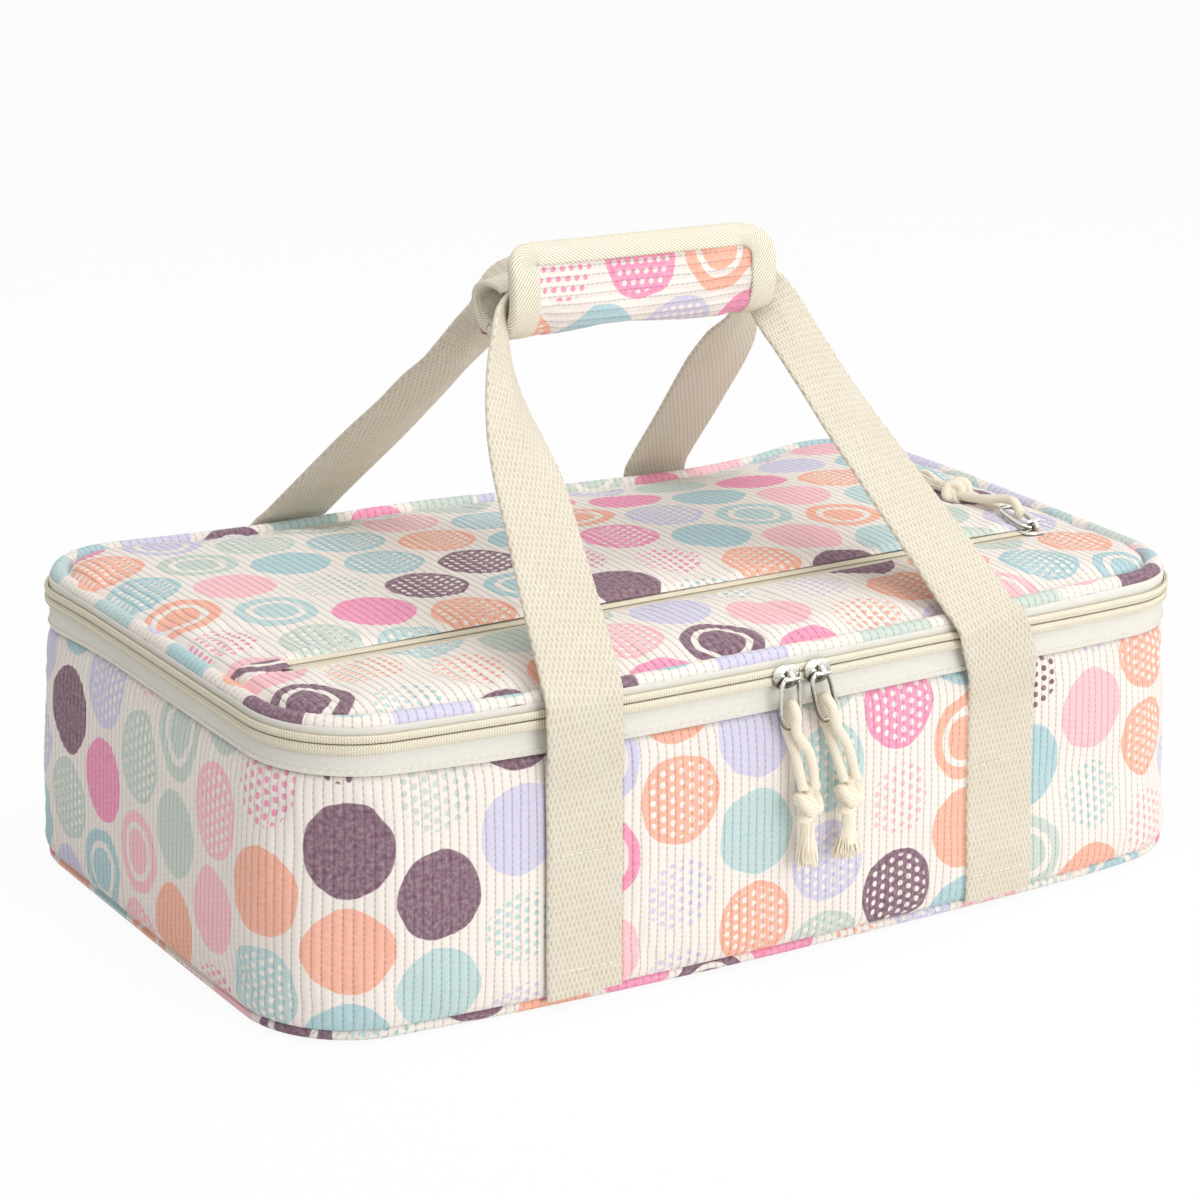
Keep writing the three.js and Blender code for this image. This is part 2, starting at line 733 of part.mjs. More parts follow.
// The pocket slider lies face up near the right end, with its pull laid towards the back.
const pocketTop = new THREE.Group();
pocketTop.matrixAutoUpdate = false;
pocketTop.matrix
  .makeBasis(
    new THREE.Vector3(-1, 0, 0),
    new THREE.Vector3(0, 0, -1),
    new THREE.Vector3(0, -1, 0),
  )
  .setPosition(POCKET_SLIDER_X, POCKET_Y, tapeTopZ);
add("pocket_slider", sliderShape(GAP, TAPE + 2 * GAP + POCKET_COIL_DEPTH, 0), "metal", pocketTop);
const pocketEye = GAP + PLATE + EYE_OUT;
const pocketPanel = GAP + FABRIC;
const laid = pull(
  "pocket",
  pocketPanel - pocketEye + 2 * CORD_R + WIRE_R + 3 * GAP,
  pocketPanel - pocketEye + KNOT_R + GAP,
  POCKET_SWAY,
  0,
);
laid.position.y = -pocketEye;
pocketTop.add(laid);
carrier.add(pocketTop);

// Sewn ends of the straps, flat on the wall.
for (const [row, side] of [
  ["front", -1],
  ["rear", 1],
]) {
  for (const [hand, sideX] of [
    ["left", -1],
    ["right", 1],
  ]) {
    const middle = sideX * STRAP_X;
    const run = sideRun(middle - STRAP_WIDTH / 2, middle + STRAP_WIDTH / 2, side, 2);
    const inFoot = -flareAt(STRAP_FOOT_Z) - GAP;
    const inTop = -flareAt(STITCH_Z) - GAP;
    add(
      `${row}_strap_${hand}_sewn`,
      band(
        run,
        [
          [inFoot, STRAP_FOOT_Z],
          [inTop, STITCH_Z],
          [inTop - WEBBING, STITCH_Z],
          [inFoot - WEBBING, STRAP_FOOT_Z],
        ],
        false,
      ),
      "cream",
    );
  }
}

// The grip's own frame, tipped so that its right end hangs a little lower.
const grip = new THREE.Group();
grip.position.set(GRIP_X, GRIP_Y, GRIP_Z);
grip.rotation.y = Math.asin(GRIP_DROP / GRIP_LENGTH);
grip.updateMatrix();

// The free loop of one strap: up each leg, round a bend and through the grip.
function strapLoop(side) {
  const wall = Math.abs(onSide(STRAP_X, side).point.y);
  const shifts = side < 0 ? FRONT_SHIFT : REAR_SHIFT;
  const edges = shifts.map((shift, k) => Math.abs(onSide((2 * k - 1) * STRAP_X + shift, side).point.y));
  const reach = Math.max(...edges) + COIL_OUT + 5 * GAP + WEBBING / 2;
  const rim = new THREE.Vector3(0, side * reach, LID_TOP_Z - 3);
  const rough = new THREE.Vector3(0, GRIP_Y - rim.y, GRIP_Z - rim.z).normalize();
  const aside = Math.abs(rough.y) * (BUNCHED_WIDTH / 2) + rough.z * (WEBBING / 2) + 2 * GAP;
  const inGrip = (x) => new THREE.Vector3(x, side * aside, 0).applyMatrix4(grip.matrix);
  const leg = new THREE.Vector3(0, inGrip(0).y - rim.y, GRIP_Z - rim.z).normalize();
  const face = new THREE.Vector3(0, side * leg.z, Math.abs(leg.y));
  const low = (x, z) =>
    new THREE.Vector3(x, side * (wall + flareAt(z) + GAP + WEBBING / 2), z);
  const half = [];
  for (const hand of [-1, 1]) {
    const entry = inGrip(hand * (GRIP_LENGTH / 2 + 2));
    const heart = entry.clone().addScaledVector(leg, -BEND_R);
    const foot = hand * STRAP_X;
    const shift = shifts[(hand + 1) / 2];
    const points = [
      low(foot, STITCH_Z + GAP),
      low(foot, STITCH_Z + 14),
      low(foot + shift * 0.2, FOLD_Z - 12),
      new THREE.Vector3(foot + shift * 0.6, rim.y, ZIP_Z - COIL_HEIGHT - 2),
      new THREE.Vector3(foot + shift * 0.85, rim.y, ZIP_Z + COIL_HEIGHT),
      new THREE.Vector3(foot + shift, rim.y, rim.z),
    ];
    const bend = [0, 0.5, 1].map((t) =>
      heart
        .clone()
        .addScaledVector(new THREE.Vector3(hand, 0, 0), BEND_R * Math.cos((t * Math.PI) / 2))
        .addScaledVector(leg, BEND_R * Math.sin((t * Math.PI) / 2)),
    );
    for (const t of [0.12, 0.35, 0.65, 0.9]) {
      points.push(points[5].clone().lerp(bend[0], t));
    }
    points.push(...bend);
    half.push(points);
  }
  const path = new THREE.CatmullRomCurve3([...half[0], inGrip(0), ...half[1].reverse()]);
  const steps = 46;
  const rows = [];
  for (let i = 0; i <= steps; i++) {
    const centre = path.getPointAt(i / steps);
    const along = path.getTangentAt(i / steps);
    const lift = THREE.MathUtils.smoothstep(centre.z, ZIP_Z, LID_TOP_Z + 6);
    const flat = onSide(Math.sign(centre.x) * STRAP_X, side).out;
    const out = new THREE.Vector3(flat.x, flat.y, 0).lerp(face, lift);
    out.addScaledVector(along, -out.dot(along)).normalize();
    const across = along.clone().cross(out);
    const narrow = THREE.MathUtils.smoothstep(centre.z, LID_TOP_Z + 45, GRIP_Z - 20);
    const wide = THREE.MathUtils.lerp(STRAP_WIDTH, BUNCHED_WIDTH, narrow) / 2;
    const corner = (a, b) =>
      centre.clone().addScaledVector(across, a * wide).addScaledVector(out, (b * WEBBING) / 2);
    rows.push([corner(-1, -1), corner(1, -1), corner(1, 1), corner(-1, 1)].map((p) => p.toArray()));
  }
  const last = steps * 4;
  const triangles = skin(rows, false);
  triangles.push(0, 1, 2, 0, 2, 3);
  triangles.push(last, last + 2, last + 1, last, last + 3, last + 2);
  return solid(rows.flat(), triangles);
}
add("front_strap_loop", strapLoop(-1), "cream");
add("rear_strap_loop", strapLoop(1), "cream");

// Wrap round the grip. Angles in degrees run from the back over the top to the front.
function wrapPoint(angle, inset) {
  const a = THREE.MathUtils.degToRad(angle);
  const y = (WRAP_DEPTH / 2 - inset) * Math.sign(Math.cos(a)) * Math.abs(Math.cos(a)) ** 0.72;
  const z = (WRAP_HEIGHT / 2 - inset) * Math.sign(Math.sin(a)) * Math.abs(Math.sin(a)) ** 0.72;
  return new THREE.Vector2(y, z);
}

function wrapArc(from, to, inset) {
  const steps = Math.max(2, Math.round(Math.abs(to - from) / 10));
  const points = [];
  for (let i = 0; i <= steps; i++) {
    points.push(wrapPoint(from + ((to - from) * i) / steps, inset));
  }
  return points;
}

// A length of wrap between two places along the grip, from its section.
function wrapPiece(section, x0, x1) {
  const shape = new THREE.Shape(section);
  const piece = new THREE.ExtrudeGeometry(shape, { depth: x1 - x0, bevelEnabled: false });
  piece.rotateZ(Math.PI / 2);
  piece.rotateY(Math.PI / 2);
  return piece.translate(x0, 0, 0);
}

const gripEnd = GRIP_LENGTH / 2;
const hookTop = WRAP_LAP + GAP;
const loopTop = hookTop + FASTENER + GAP;
const tongueTop = loopTop + FASTENER + GAP;
const backSection = [
  ...wrapArc(WRAP_FOLD - 90, LAP_EDGE - 4, 0),
  ...wrapArc(LAP_EDGE - 4, LAP_EDGE + 56, tongueTop),
  ...wrapArc(LAP_EDGE + 56, WRAP_FOLD - 90, WRAP_PADDING),
];
const flapSection = [
  ...wrapArc(270 - WRAP_FOLD, LAP_EDGE, 0),
  ...wrapArc(LAP_EDGE, LAP_EDGE + 60, WRAP_LAP),
  ...wrapArc(LAP_EDGE + 60, 270 - WRAP_FOLD, WRAP_PADDING),
];
add("wrap_back", wrapPiece(backSection, -gripEnd, gripEnd), "print", grip);
add("wrap_flap", wrapPiece(flapSection, -gripEnd, gripEnd), "print", grip);
function wrapStrip(from, to, inset, thick) {
  return [...wrapArc(from, to, inset), ...wrapArc(to, from, inset + thick)];
}
const fastenerEnd = gripEnd - BINDING_WIDTH - 1;
add(
  "hook_strip",
  wrapPiece(wrapStrip(LAP_EDGE + 4, LAP_EDGE + 30, hookTop, FASTENER), -fastenerEnd, fastenerEnd),
  "cream",
  grip,
);
add(
  "loop_strip",
  wrapPiece(wrapStrip(LAP_EDGE + 4, LAP_EDGE + 30, loopTop, FASTENER), -fastenerEnd, fastenerEnd),
  "cream",
  grip,
);
const coverTop = -GAP - BINDING;
const flapCover = toBody(
  wrapPiece(wrapStrip(270 - WRAP_FOLD, LAP_EDGE + 1, coverTop, BINDING), -gripEnd, gripEnd),
);
const flapWindow = toBody(
  wrapPiece(
    wrapStrip(270, LAP_EDGE + 20, coverTop - 1, BINDING + 2),
    -gripEnd + BINDING_WIDTH,
    gripEnd - BINDING_WIDTH,
  ),
);
add("flap_binding", fromBody(flapCover.subtract(flapWindow)), "cream", grip);
const backCover = wrapStrip(WRAP_FOLD - 90, LAP_EDGE - 5, coverTop, BINDING);
add(
  "wrap_binding_left",
  wrapPiece(backCover, -gripEnd, -gripEnd + BINDING_WIDTH),
  "cream",
  grip,
);
add("wrap_binding_right", wrapPiece(backCover, gripEnd - BINDING_WIDTH, gripEnd), "cream", grip);
carrier.add(grip);

export default carrier;
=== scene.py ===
import math

import bpy
import numpy as np
from mathutils import Matrix


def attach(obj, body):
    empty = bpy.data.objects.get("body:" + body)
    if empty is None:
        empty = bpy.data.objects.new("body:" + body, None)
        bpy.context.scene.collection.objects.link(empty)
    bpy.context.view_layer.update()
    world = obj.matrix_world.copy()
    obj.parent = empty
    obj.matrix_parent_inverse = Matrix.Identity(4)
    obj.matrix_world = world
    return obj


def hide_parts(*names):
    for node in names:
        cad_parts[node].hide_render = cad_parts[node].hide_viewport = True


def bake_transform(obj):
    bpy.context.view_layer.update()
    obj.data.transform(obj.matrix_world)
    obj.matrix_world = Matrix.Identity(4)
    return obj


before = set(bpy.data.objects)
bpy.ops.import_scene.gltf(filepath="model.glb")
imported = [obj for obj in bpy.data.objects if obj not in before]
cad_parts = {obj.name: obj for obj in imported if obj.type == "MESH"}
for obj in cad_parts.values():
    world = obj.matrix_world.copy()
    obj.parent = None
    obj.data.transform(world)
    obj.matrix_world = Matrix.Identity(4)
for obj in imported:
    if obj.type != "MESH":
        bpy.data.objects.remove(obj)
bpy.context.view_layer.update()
scene = bpy.context.scene
MM = 0.001
PI = math.pi


def unit(v):
    v = np.asarray(v, float)
    return v / np.linalg.norm(v, axis=-1, keepdims=True)


def ease(a, b, v):
    """A soft step from 0 at a to 1 at b."""
    t = np.clip((np.asarray(v, float) - a) / (b - a), 0, 1)
    return t * t * (3 - 2 * t)


def travel(points):
    """Distance along a line, from 0 at its first point."""
    return np.concatenate([[0], np.cumsum(np.linalg.norm(np.diff(points, axis=0), axis=1))])


def grid(u, v):
    """Each pair of two rulers' values."""
    return np.stack(np.meshgrid(u, v, indexing="ij"), -1)


def circle(count):
    return np.linspace(0, 2 * PI, count, endpoint=False)


def placed(directions, place):
    """A matrix from an object's three directions and its place."""
    rows = zip(np.stack(directions, 1), place)
    return Matrix([[*row, p] for row, p in rows] + [[0, 0, 0, 1]])


# Camera, at the photograph's viewing angle.
AZIMUTH, ELEVATION, ROLL = (math.radians(a) for a in (-31.831, 17.417, 0.513))
TARGET = np.array([12.507, 26.229, 94.411])
DISTANCE = 1392.556
SENSOR, FOCAL_PIXELS, PHOTO_PIXELS = 36, 3355, 1200
level = math.cos(ELEVATION)
back = np.array([math.sin(AZIMUTH) * level, -math.cos(AZIMUTH) * level, math.sin(ELEVATION)])
right = np.array([math.cos(AZIMUTH), math.sin(AZIMUTH), 0])
up = np.cross(back, right)
right, up = (
    right * math.cos(ROLL) + up * math.sin(ROLL),
    up * math.cos(ROLL) - right * math.sin(ROLL),
)
camera = bpy.data.objects.new("camera", bpy.data.cameras.new("camera"))
camera.data.sensor_width = SENSOR
camera.data.lens = SENSOR * FOCAL_PIXELS / PHOTO_PIXELS
camera.data.clip_end = 30
camera.matrix_world = placed([right, up, back], (TARGET + back * DISTANCE) * MM)
scene.collection.objects.link(camera)
scene.camera = camera

# Plan of the carrier in millimetres, as in the CAD model. The front bows out by BOW.
HALF = 207.0
BACK = 125.0
FRONT = 137.5
BOW = 12.5
CORNER = 42.0
ARC_R = (HALF**2 + BOW**2) / (2 * BOW)
ARC_C = ARC_R - FRONT
CX = HALF - CORNER
CY = math.sqrt((ARC_R - CORNER) ** 2 - CX**2) - ARC_C
TURN = math.atan2(CY + ARC_C, CX)
RUNS = np.cumsum([CX, CORNER * PI / 2, BACK - CORNER + CY, CORNER * TURN, ARC_R * (PI / 2 - TURN)])
LOOP = 2 * RUNS[-1]
WALL_FOOT, WALL_TOP = 5.0, 95.5
ZIP_Z = 111.0
HINGE_HALF = 130.0
PANEL_IN = 7.9
POCKET_Y = -61.0
POCKET_ENDS = (-181, 178)
POCKET_SLIDER_X = 169.5
STRAP_X, STRAP_WIDE = 95, 32
RIB = 3.55


def outline(s):
    """Points and outward directions on the rim, from the middle of the back round by the left end."""
    s = np.mod(np.asarray(s, float), LOOP)
    flip = np.where(s > LOOP / 2, -1.0, 1.0)
    t = np.where(s > LOOP / 2, LOOP - s, s)
    zero = np.zeros_like(t)
    runs = [t < end for end in RUNS[:4]]
    turns = [zero + PI / 2, PI / 2 + (t - RUNS[0]) / CORNER, zero + PI, PI + (t - RUNS[2]) / CORNER]
    turn = np.select(runs, turns, PI + TURN + (t - RUNS[3]) / ARC_R)
    nx, ny = np.cos(turn), np.sin(turn)
    x = np.select(runs, [-t, -CX + CORNER * nx, zero - HALF, -CX + CORNER * nx], ARC_R * nx)
    end_y = BACK - CORNER
    ys = [zero + BACK, end_y + CORNER * ny, end_y - (t - RUNS[1]), -CY + CORNER * ny]
    y = np.select(runs, ys, ARC_C + ARC_R * ny)
    return np.stack([x * flip, y], -1), np.stack([nx * flip, ny], -1)


def rim(s, inset, z):
    """Points at an inset from the rim and a height. The three arrays broadcast."""
    s, inset, z = np.broadcast_arrays(np.asarray(s, float), inset, z)
    p, n = outline(s)
    return np.concatenate([p - n * inset[..., None], z[..., None]], -1).astype(float)


def settle(P):
    """How the filled carrier has slumped: the back leans in between its corners, its rear edge droops."""
    x, y, z = P[..., 0], P[..., 1], P[..., 2]
    high = np.clip((z - WALL_FOOT) / (ZIP_Z - WALL_FOOT), 0, 1)
    behind = ease(20.83, 110, y)
    middle = np.clip(1 - (x / HALF) ** 2, 0, 1)
    body = ease(4, 30, z) * (1 - 0.6 * ease(80, 110, z))
    droop = 5.6 * np.exp(-(((x - 112) / 90) ** 2)) * behind
    droop *= 0.5 * ease(90, 111, z) + 0.5 * ease(111, 122, z)
    # The zip's front rises towards the left, its left end bulges, and the right end stands a little high.
    rise = 2.8 * (1 - ease(40, 190, x)) * (1 - 0.7 * ease(40, 120, y)) * ease(50, 96, z) * (1 - ease(112, 121, z))
    rise += 2.0 * np.exp(-(((x + HALF) / 60) ** 2)) * (1 - behind) * ease(70, 96, z) * (1 - ease(97, 106, z))
    rise += 1.8 * ease(150, 195, x) * ease(-60, 40, y) * ease(100, 112, z)
    corner = 0.9 * np.exp(-((x + 188) ** 2 + (y + 112) ** 2) / 45**2) * (1 - ease(3, 60, z))
    flank = 3.5 * np.exp(-(((x - 150) / 70) ** 2)) * (1 - ease(-60, 20, y)) * (1 - ease(4, 50, z))
    out = P.astype(float).copy()
    out[..., 0] -= np.sign(x) * (3 * high * (x / HALF) ** 4 + corner)
    out[..., 0] += body * (0.3 * np.sin(y / 36 + 0.8) + 0.2 * np.sin(z / 19 + y / 52))
    out[..., 1] += body * (0.3 * np.sin(x / 47 + 2.2) + 0.2 * np.sin(z / 21 - x / 63))
    out[..., 1] += corner - 12 * high * behind * middle - flank
    out[..., 2] += 0.3 * high * np.sin(x / 55 + 0.4) - droop + rise
    return out


# Mesh helpers. A part is (points in mm, faces, UV of each face corner in mm).
def sheet_part(P, uv, wrap_u=False, wrap_v=False, flip=False):
    n, m = P.shape[:2]
    i, j = np.meshgrid(np.arange(n - (not wrap_u)), np.arange(m - (not wrap_v)), indexing="ij")
    i, j = i.ravel(), j.ravel()
    corners = [(i, j), (i + 1, j), (i + 1, j + 1), (i, j + 1)]
    if flip:
        corners.reverse()
    faces = np.stack([(a % n) * m + b % m for a, b in corners], 1)
    return P.reshape(-1, 3), faces, np.stack([uv[a, b] for a, b in corners], 1)


def fan_part(ring, flip=False):
    """A cap over a ring of points."""
    n = len(ring)
    k = np.arange(n)
    faces = np.stack([k, (k + 1) % n, np.full(n, n)], 1)
    if flip:
        faces = faces[:, ::-1]
    V = np.vstack([ring, ring.mean(0)])
    return V, faces, V[faces][..., :2]


def rod_parts(P, uv):
    """A closed strip: rings of points, with a cap at each end."""
    return [sheet_part(P, uv, False, True), fan_part(P[0], True), fan_part(P[-1])]


def piece(name, parts, material, body=None, replaces=()):
    points, loops, starts, uvs, base, at = [], [], [], [], 0, 0
    for V, F, uv in parts:
        points.append(V)
        loops.append((F + base).ravel())
        starts.append(at + np.arange(len(F)) * F.shape[1])
        uvs.append(np.asarray(uv).reshape(-1, 2))
        base += len(V)
        at += F.size
    points, loops, starts, uvs = (np.concatenate(a) for a in (points, loops, starts, uvs))
    mesh = bpy.data.meshes.new(name)
    mesh.vertices.add(len(points))
    mesh.vertices.foreach_set("co", (points * MM).astype(np.float32).ravel())
    mesh.loops.add(len(loops))
    mesh.loops.foreach_set("vertex_index", loops.astype(np.int32))
    mesh.polygons.add(len(starts))
    mesh.polygons.foreach_set("loop_start", starts.astype(np.int32))
    mesh.update(calc_edges=True)
    layer = mesh.uv_layers.new(name="UVMap")
    layer.data.foreach_set("uv", (uvs * 0.01).astype(np.float32).ravel())
    mesh.validate()
    mesh.shade_smooth()
    mesh.materials.append(material)
    obj = bpy.data.objects.new(name, mesh)
    scene.collection.objects.link(obj)
    if body:
        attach(obj, body)
    if replaces:
        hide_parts(*replaces)
    return obj


def spline(points, step):
    """An even, smooth run through rows of numbers whose first three are a place."""
    p = np.asarray(points, float)
    d = np.sqrt(np.linalg.norm(np.diff(p[:, :3], axis=0), axis=1))
    painted_reflection_slope = np.zeros_like(p)
    inner = np.diff(p, axis=0) / d[:, None]
    painted_reflection_slope[1:-1] = (inner[:-1] * d[1:, None] + inner[1:] * d[:-1, None]) / (d[:-1] + d[1:])[:, None]
    painted_reflection_slope[0], painted_reflection_slope[-1] = 1.5 * inner[0] - 0.5 * painted_reflection_slope[1], 1.5 * inner[-1] - 0.5 * painted_reflection_slope[-2]
    u = np.linspace(0, 1, 60, endpoint=False)[:, None]
    rows = []
    for k, h in enumerate(d):
        rows.append(
            (2 * u**3 - 3 * u**2 + 1) * p[k]
            + (u**3 - 2 * u**2 + u) * h * painted_reflection_slope[k]
            + (3 * u**2 - 2 * u**3) * p[k + 1]
            + (u**3 - u**2) * h * painted_reflection_slope[k + 1]
        )
    rows = np.vstack(rows + [p[-1:]])
    far = travel(rows[:, :3])
    even = np.linspace(0, far[-1], max(2, int(round(far[-1] / step)) + 1))
    return np.stack([np.interp(even, far, column) for column in rows.T], 1)


def frames(path, closed=False):
    """Directions along, aside and out for each point of a path, without needless twist."""
    t = unit(np.gradient(path, axis=0)) if not closed else unit(np.roll(path, -1, 0) - np.roll(path, 1, 0))
    a = unit(np.cross(t[0], [0.3, 0.2, 1.0]))
    sides = []
    for d in t:
        a = unit(a - d * (a @ d))
        sides.append(a)
    a = np.array(sides)
    if closed:
        w = unit(np.cross(t[0], a[0]))
        slip = math.atan2(a[-1] @ w, a[-1] @ a[0])
        turn = -slip * np.arange(len(t)) / len(t)
        b = np.cross(t, a)
        a = a * np.cos(turn)[:, None] + b * np.sin(turn)[:, None]
    return a, np.cross(t, a)


def tube(path, radius, sides=10, closed=False):
    """A round tube. UV runs once round (100 mm) and along in mm."""
    path = np.asarray(path, float)
    a, b = frames(path, closed)
    radius = np.broadcast_to(np.asarray(radius, float), len(path))
    turn = circle(sides)
    P = path[:, None] + radius[:, None, None] * (
        np.cos(turn)[None, :, None] * a[:, None] + np.sin(turn)[None, :, None] * b[:, None]
    )
    far = travel(path)
    if closed:
        far = np.append(far, far[-1] + np.linalg.norm(path[0] - path[-1]))
    uv = grid(far, np.linspace(0, 100, sides + 1))[..., ::-1]
    return [sheet_part(P, uv, True, True)] if closed else rod_parts(P, uv)


# Procedural materials.
class Value:
    """A node's output. An operator on it adds the Math node of that name."""

    def __init__(self, nodes, socket):
        self.nodes = nodes
        self.socket = socket

    def __add__(self, other):
        return self.nodes.math("ADD", self, other)

    def __sub__(self, other):
        return self.nodes.math("SUBTRACT", self, other)

    def __rsub__(self, other):
        return self.nodes.math("SUBTRACT", other, self)

    def __mul__(self, other):
        return self.nodes.math("MULTIPLY", self, other)

    def __truediv__(self, other):
        return self.nodes.math("DIVIDE", self, other)

    def __gt__(self, other):
        return self.nodes.math("GREATER_THAN", self, other)

    def __lt__(self, other):
        return self.nodes.math("LESS_THAN", self, other)

    def __abs__(self):
        return self.nodes.math("ABSOLUTE", self)

    def floor(self):
        return self.nodes.math("FLOOR", self)

    def wave(self, length):
        return self.nodes.math("SINE", self * (2 * PI / length))

    def pingpong(self, size):
        return self.nodes.math("PINGPONG", self, size)

    def modulo(self, size):
        return self.nodes.math("FLOORED_MODULO", self, size)

    def off_middle(self):
        """Distance from the middle of each whole step."""
        return abs(self.nodes.math("FRACT", self) - 0.5)


class Nodes:
    """A material under construction."""

    def __init__(self, name):
        self.material = bpy.data.materials.new(name)
        self.material.use_nodes = True
        self.tree = self.material.node_tree
        self.tree.nodes.clear()
        self.end = self.add("OutputMaterial")
        self.shader = self.add("BsdfPrincipled")
        self.tree.links.new(self.shader.outputs[0], self.end.inputs[0])

    def add(self, kind, **settings):
        node = self.tree.nodes.new("ShaderNode" + kind)
        for name, value in settings.items():
            setattr(node, name, value)
        return node

    def put(self, socket, value):
        if isinstance(value, Value):
            self.tree.links.new(value.socket, socket)
        else:
            socket.default_value = value

    def fill(self, node, values, out=0):
        for socket, value in zip(node.inputs, values):
            self.put(socket, value)
        return Value(self, node.outputs[out])

    def math(self, kind, *values):
        return self.fill(self.add("Math", operation=kind), values)

    def stretched(self, vector, by):
        return self.fill(self.add("VectorMath", operation="MULTIPLY"), (vector, by))

    def length(self, x, y):
        return self.fill(self.add("VectorMath", operation="LENGTH"), [self.join(x, y)], 1)

    def join(self, x, y, z=0.0):
        return self.fill(self.add("CombineXYZ"), (x, y, z))

    def split(self, vector):
        node = self.add("SeparateXYZ")
        self.put(node.inputs[0], vector)
        return [Value(self, socket) for socket in node.outputs]

    def coordinate(self, kind):
        return Value(self, self.add("TexCoord").outputs[kind])

    def scaled(self, kind, by):
        node = self.add("VectorMath", operation="SCALE")
        node.inputs["Scale"].default_value = by
        return self.fill(node, [self.coordinate(kind)])

    def mm(self):
        """The flat place on the cloth in millimetres."""
        return self.scaled("UV", 100)

    def place(self):
        """The place in the carrier's frame in millimetres."""
        return self.scaled("Object", 1000)

    def noise(self, vector, scale, detail=2.0, rough=0.5):
        node = self.add("TexNoise")
        for name, value in zip(("Vector", "Scale", "Detail", "Roughness"), (vector, scale, detail, rough)):
            self.put(node.inputs[name], value)
        return Value(self, node.outputs[0])

    def white(self, vector):
        node = self.add("TexWhiteNoise", noise_dimensions="3D")
        self.put(node.inputs["Vector"], vector)
        return Value(self, node.outputs["Value"])

    def mix(self, factor, a, b, kind="MIX"):
        node = self.add("Mix", data_type="RGBA", blend_type=kind)
        for at, value in ((0, factor), (6, a), (7, b)):
            self.put(node.inputs[at], value)
        return Value(self, node.outputs[2])

    def step(self, value, low, high, to_low=0.0, to_high=1.0):
        node = self.add("MapRange", interpolation_type="SMOOTHSTEP")
        return self.fill(node, (value, low, high, to_low, to_high))

    def ramp(self, factor, stops, kind="LINEAR"):
        node = self.add("ValToRGB")
        node.color_ramp.interpolation = kind
        while len(node.color_ramp.elements) < len(stops):
            node.color_ramp.elements.new(1)
        for element, (at, colour) in zip(node.color_ramp.elements, stops):
            element.position = at
            element.color = colour
        return self.fill(node, [factor])

    def bump(self, height, distance, strength=1.0):
        node = self.add("Bump")
        node.inputs["Strength"].default_value = strength
        node.inputs["Distance"].default_value = distance
        self.put(node.inputs["Height"], height)
        self.tree.links.new(node.outputs[0], self.shader.inputs["Normal"])

    def finish(self, colour, roughness, **more):
        more = {"Base_Color": colour, "Roughness": roughness, **more}
        for name, value in more.items():
            self.put(self.shader.inputs[name.replace("_", " ")], value)
        return self.material


def rgb(r, g, b):
    """Screen colour (0 to 255) as a linear one."""
    c = np.array([r, g, b]) / 255
    c = np.where(c <= 0.04045, c / 12.92, ((c + 0.055) / 1.055) ** 2.4)
    return (*c.tolist(), 1.0)


CREAM = rgb(245, 238, 231)
INKS = [
    rgb(172, 207, 213),
    rgb(244, 146, 184),
    rgb(200, 214, 205),
    rgb(118, 78, 102),
    rgb(248, 178, 152),
    rgb(210, 206, 230),
    rgb(250, 192, 200),
    rgb(186, 214, 214),
]
SPOT_WIDE, SPOT_TALL, DOT_PITCH = 33.0, 36.0, 4.0


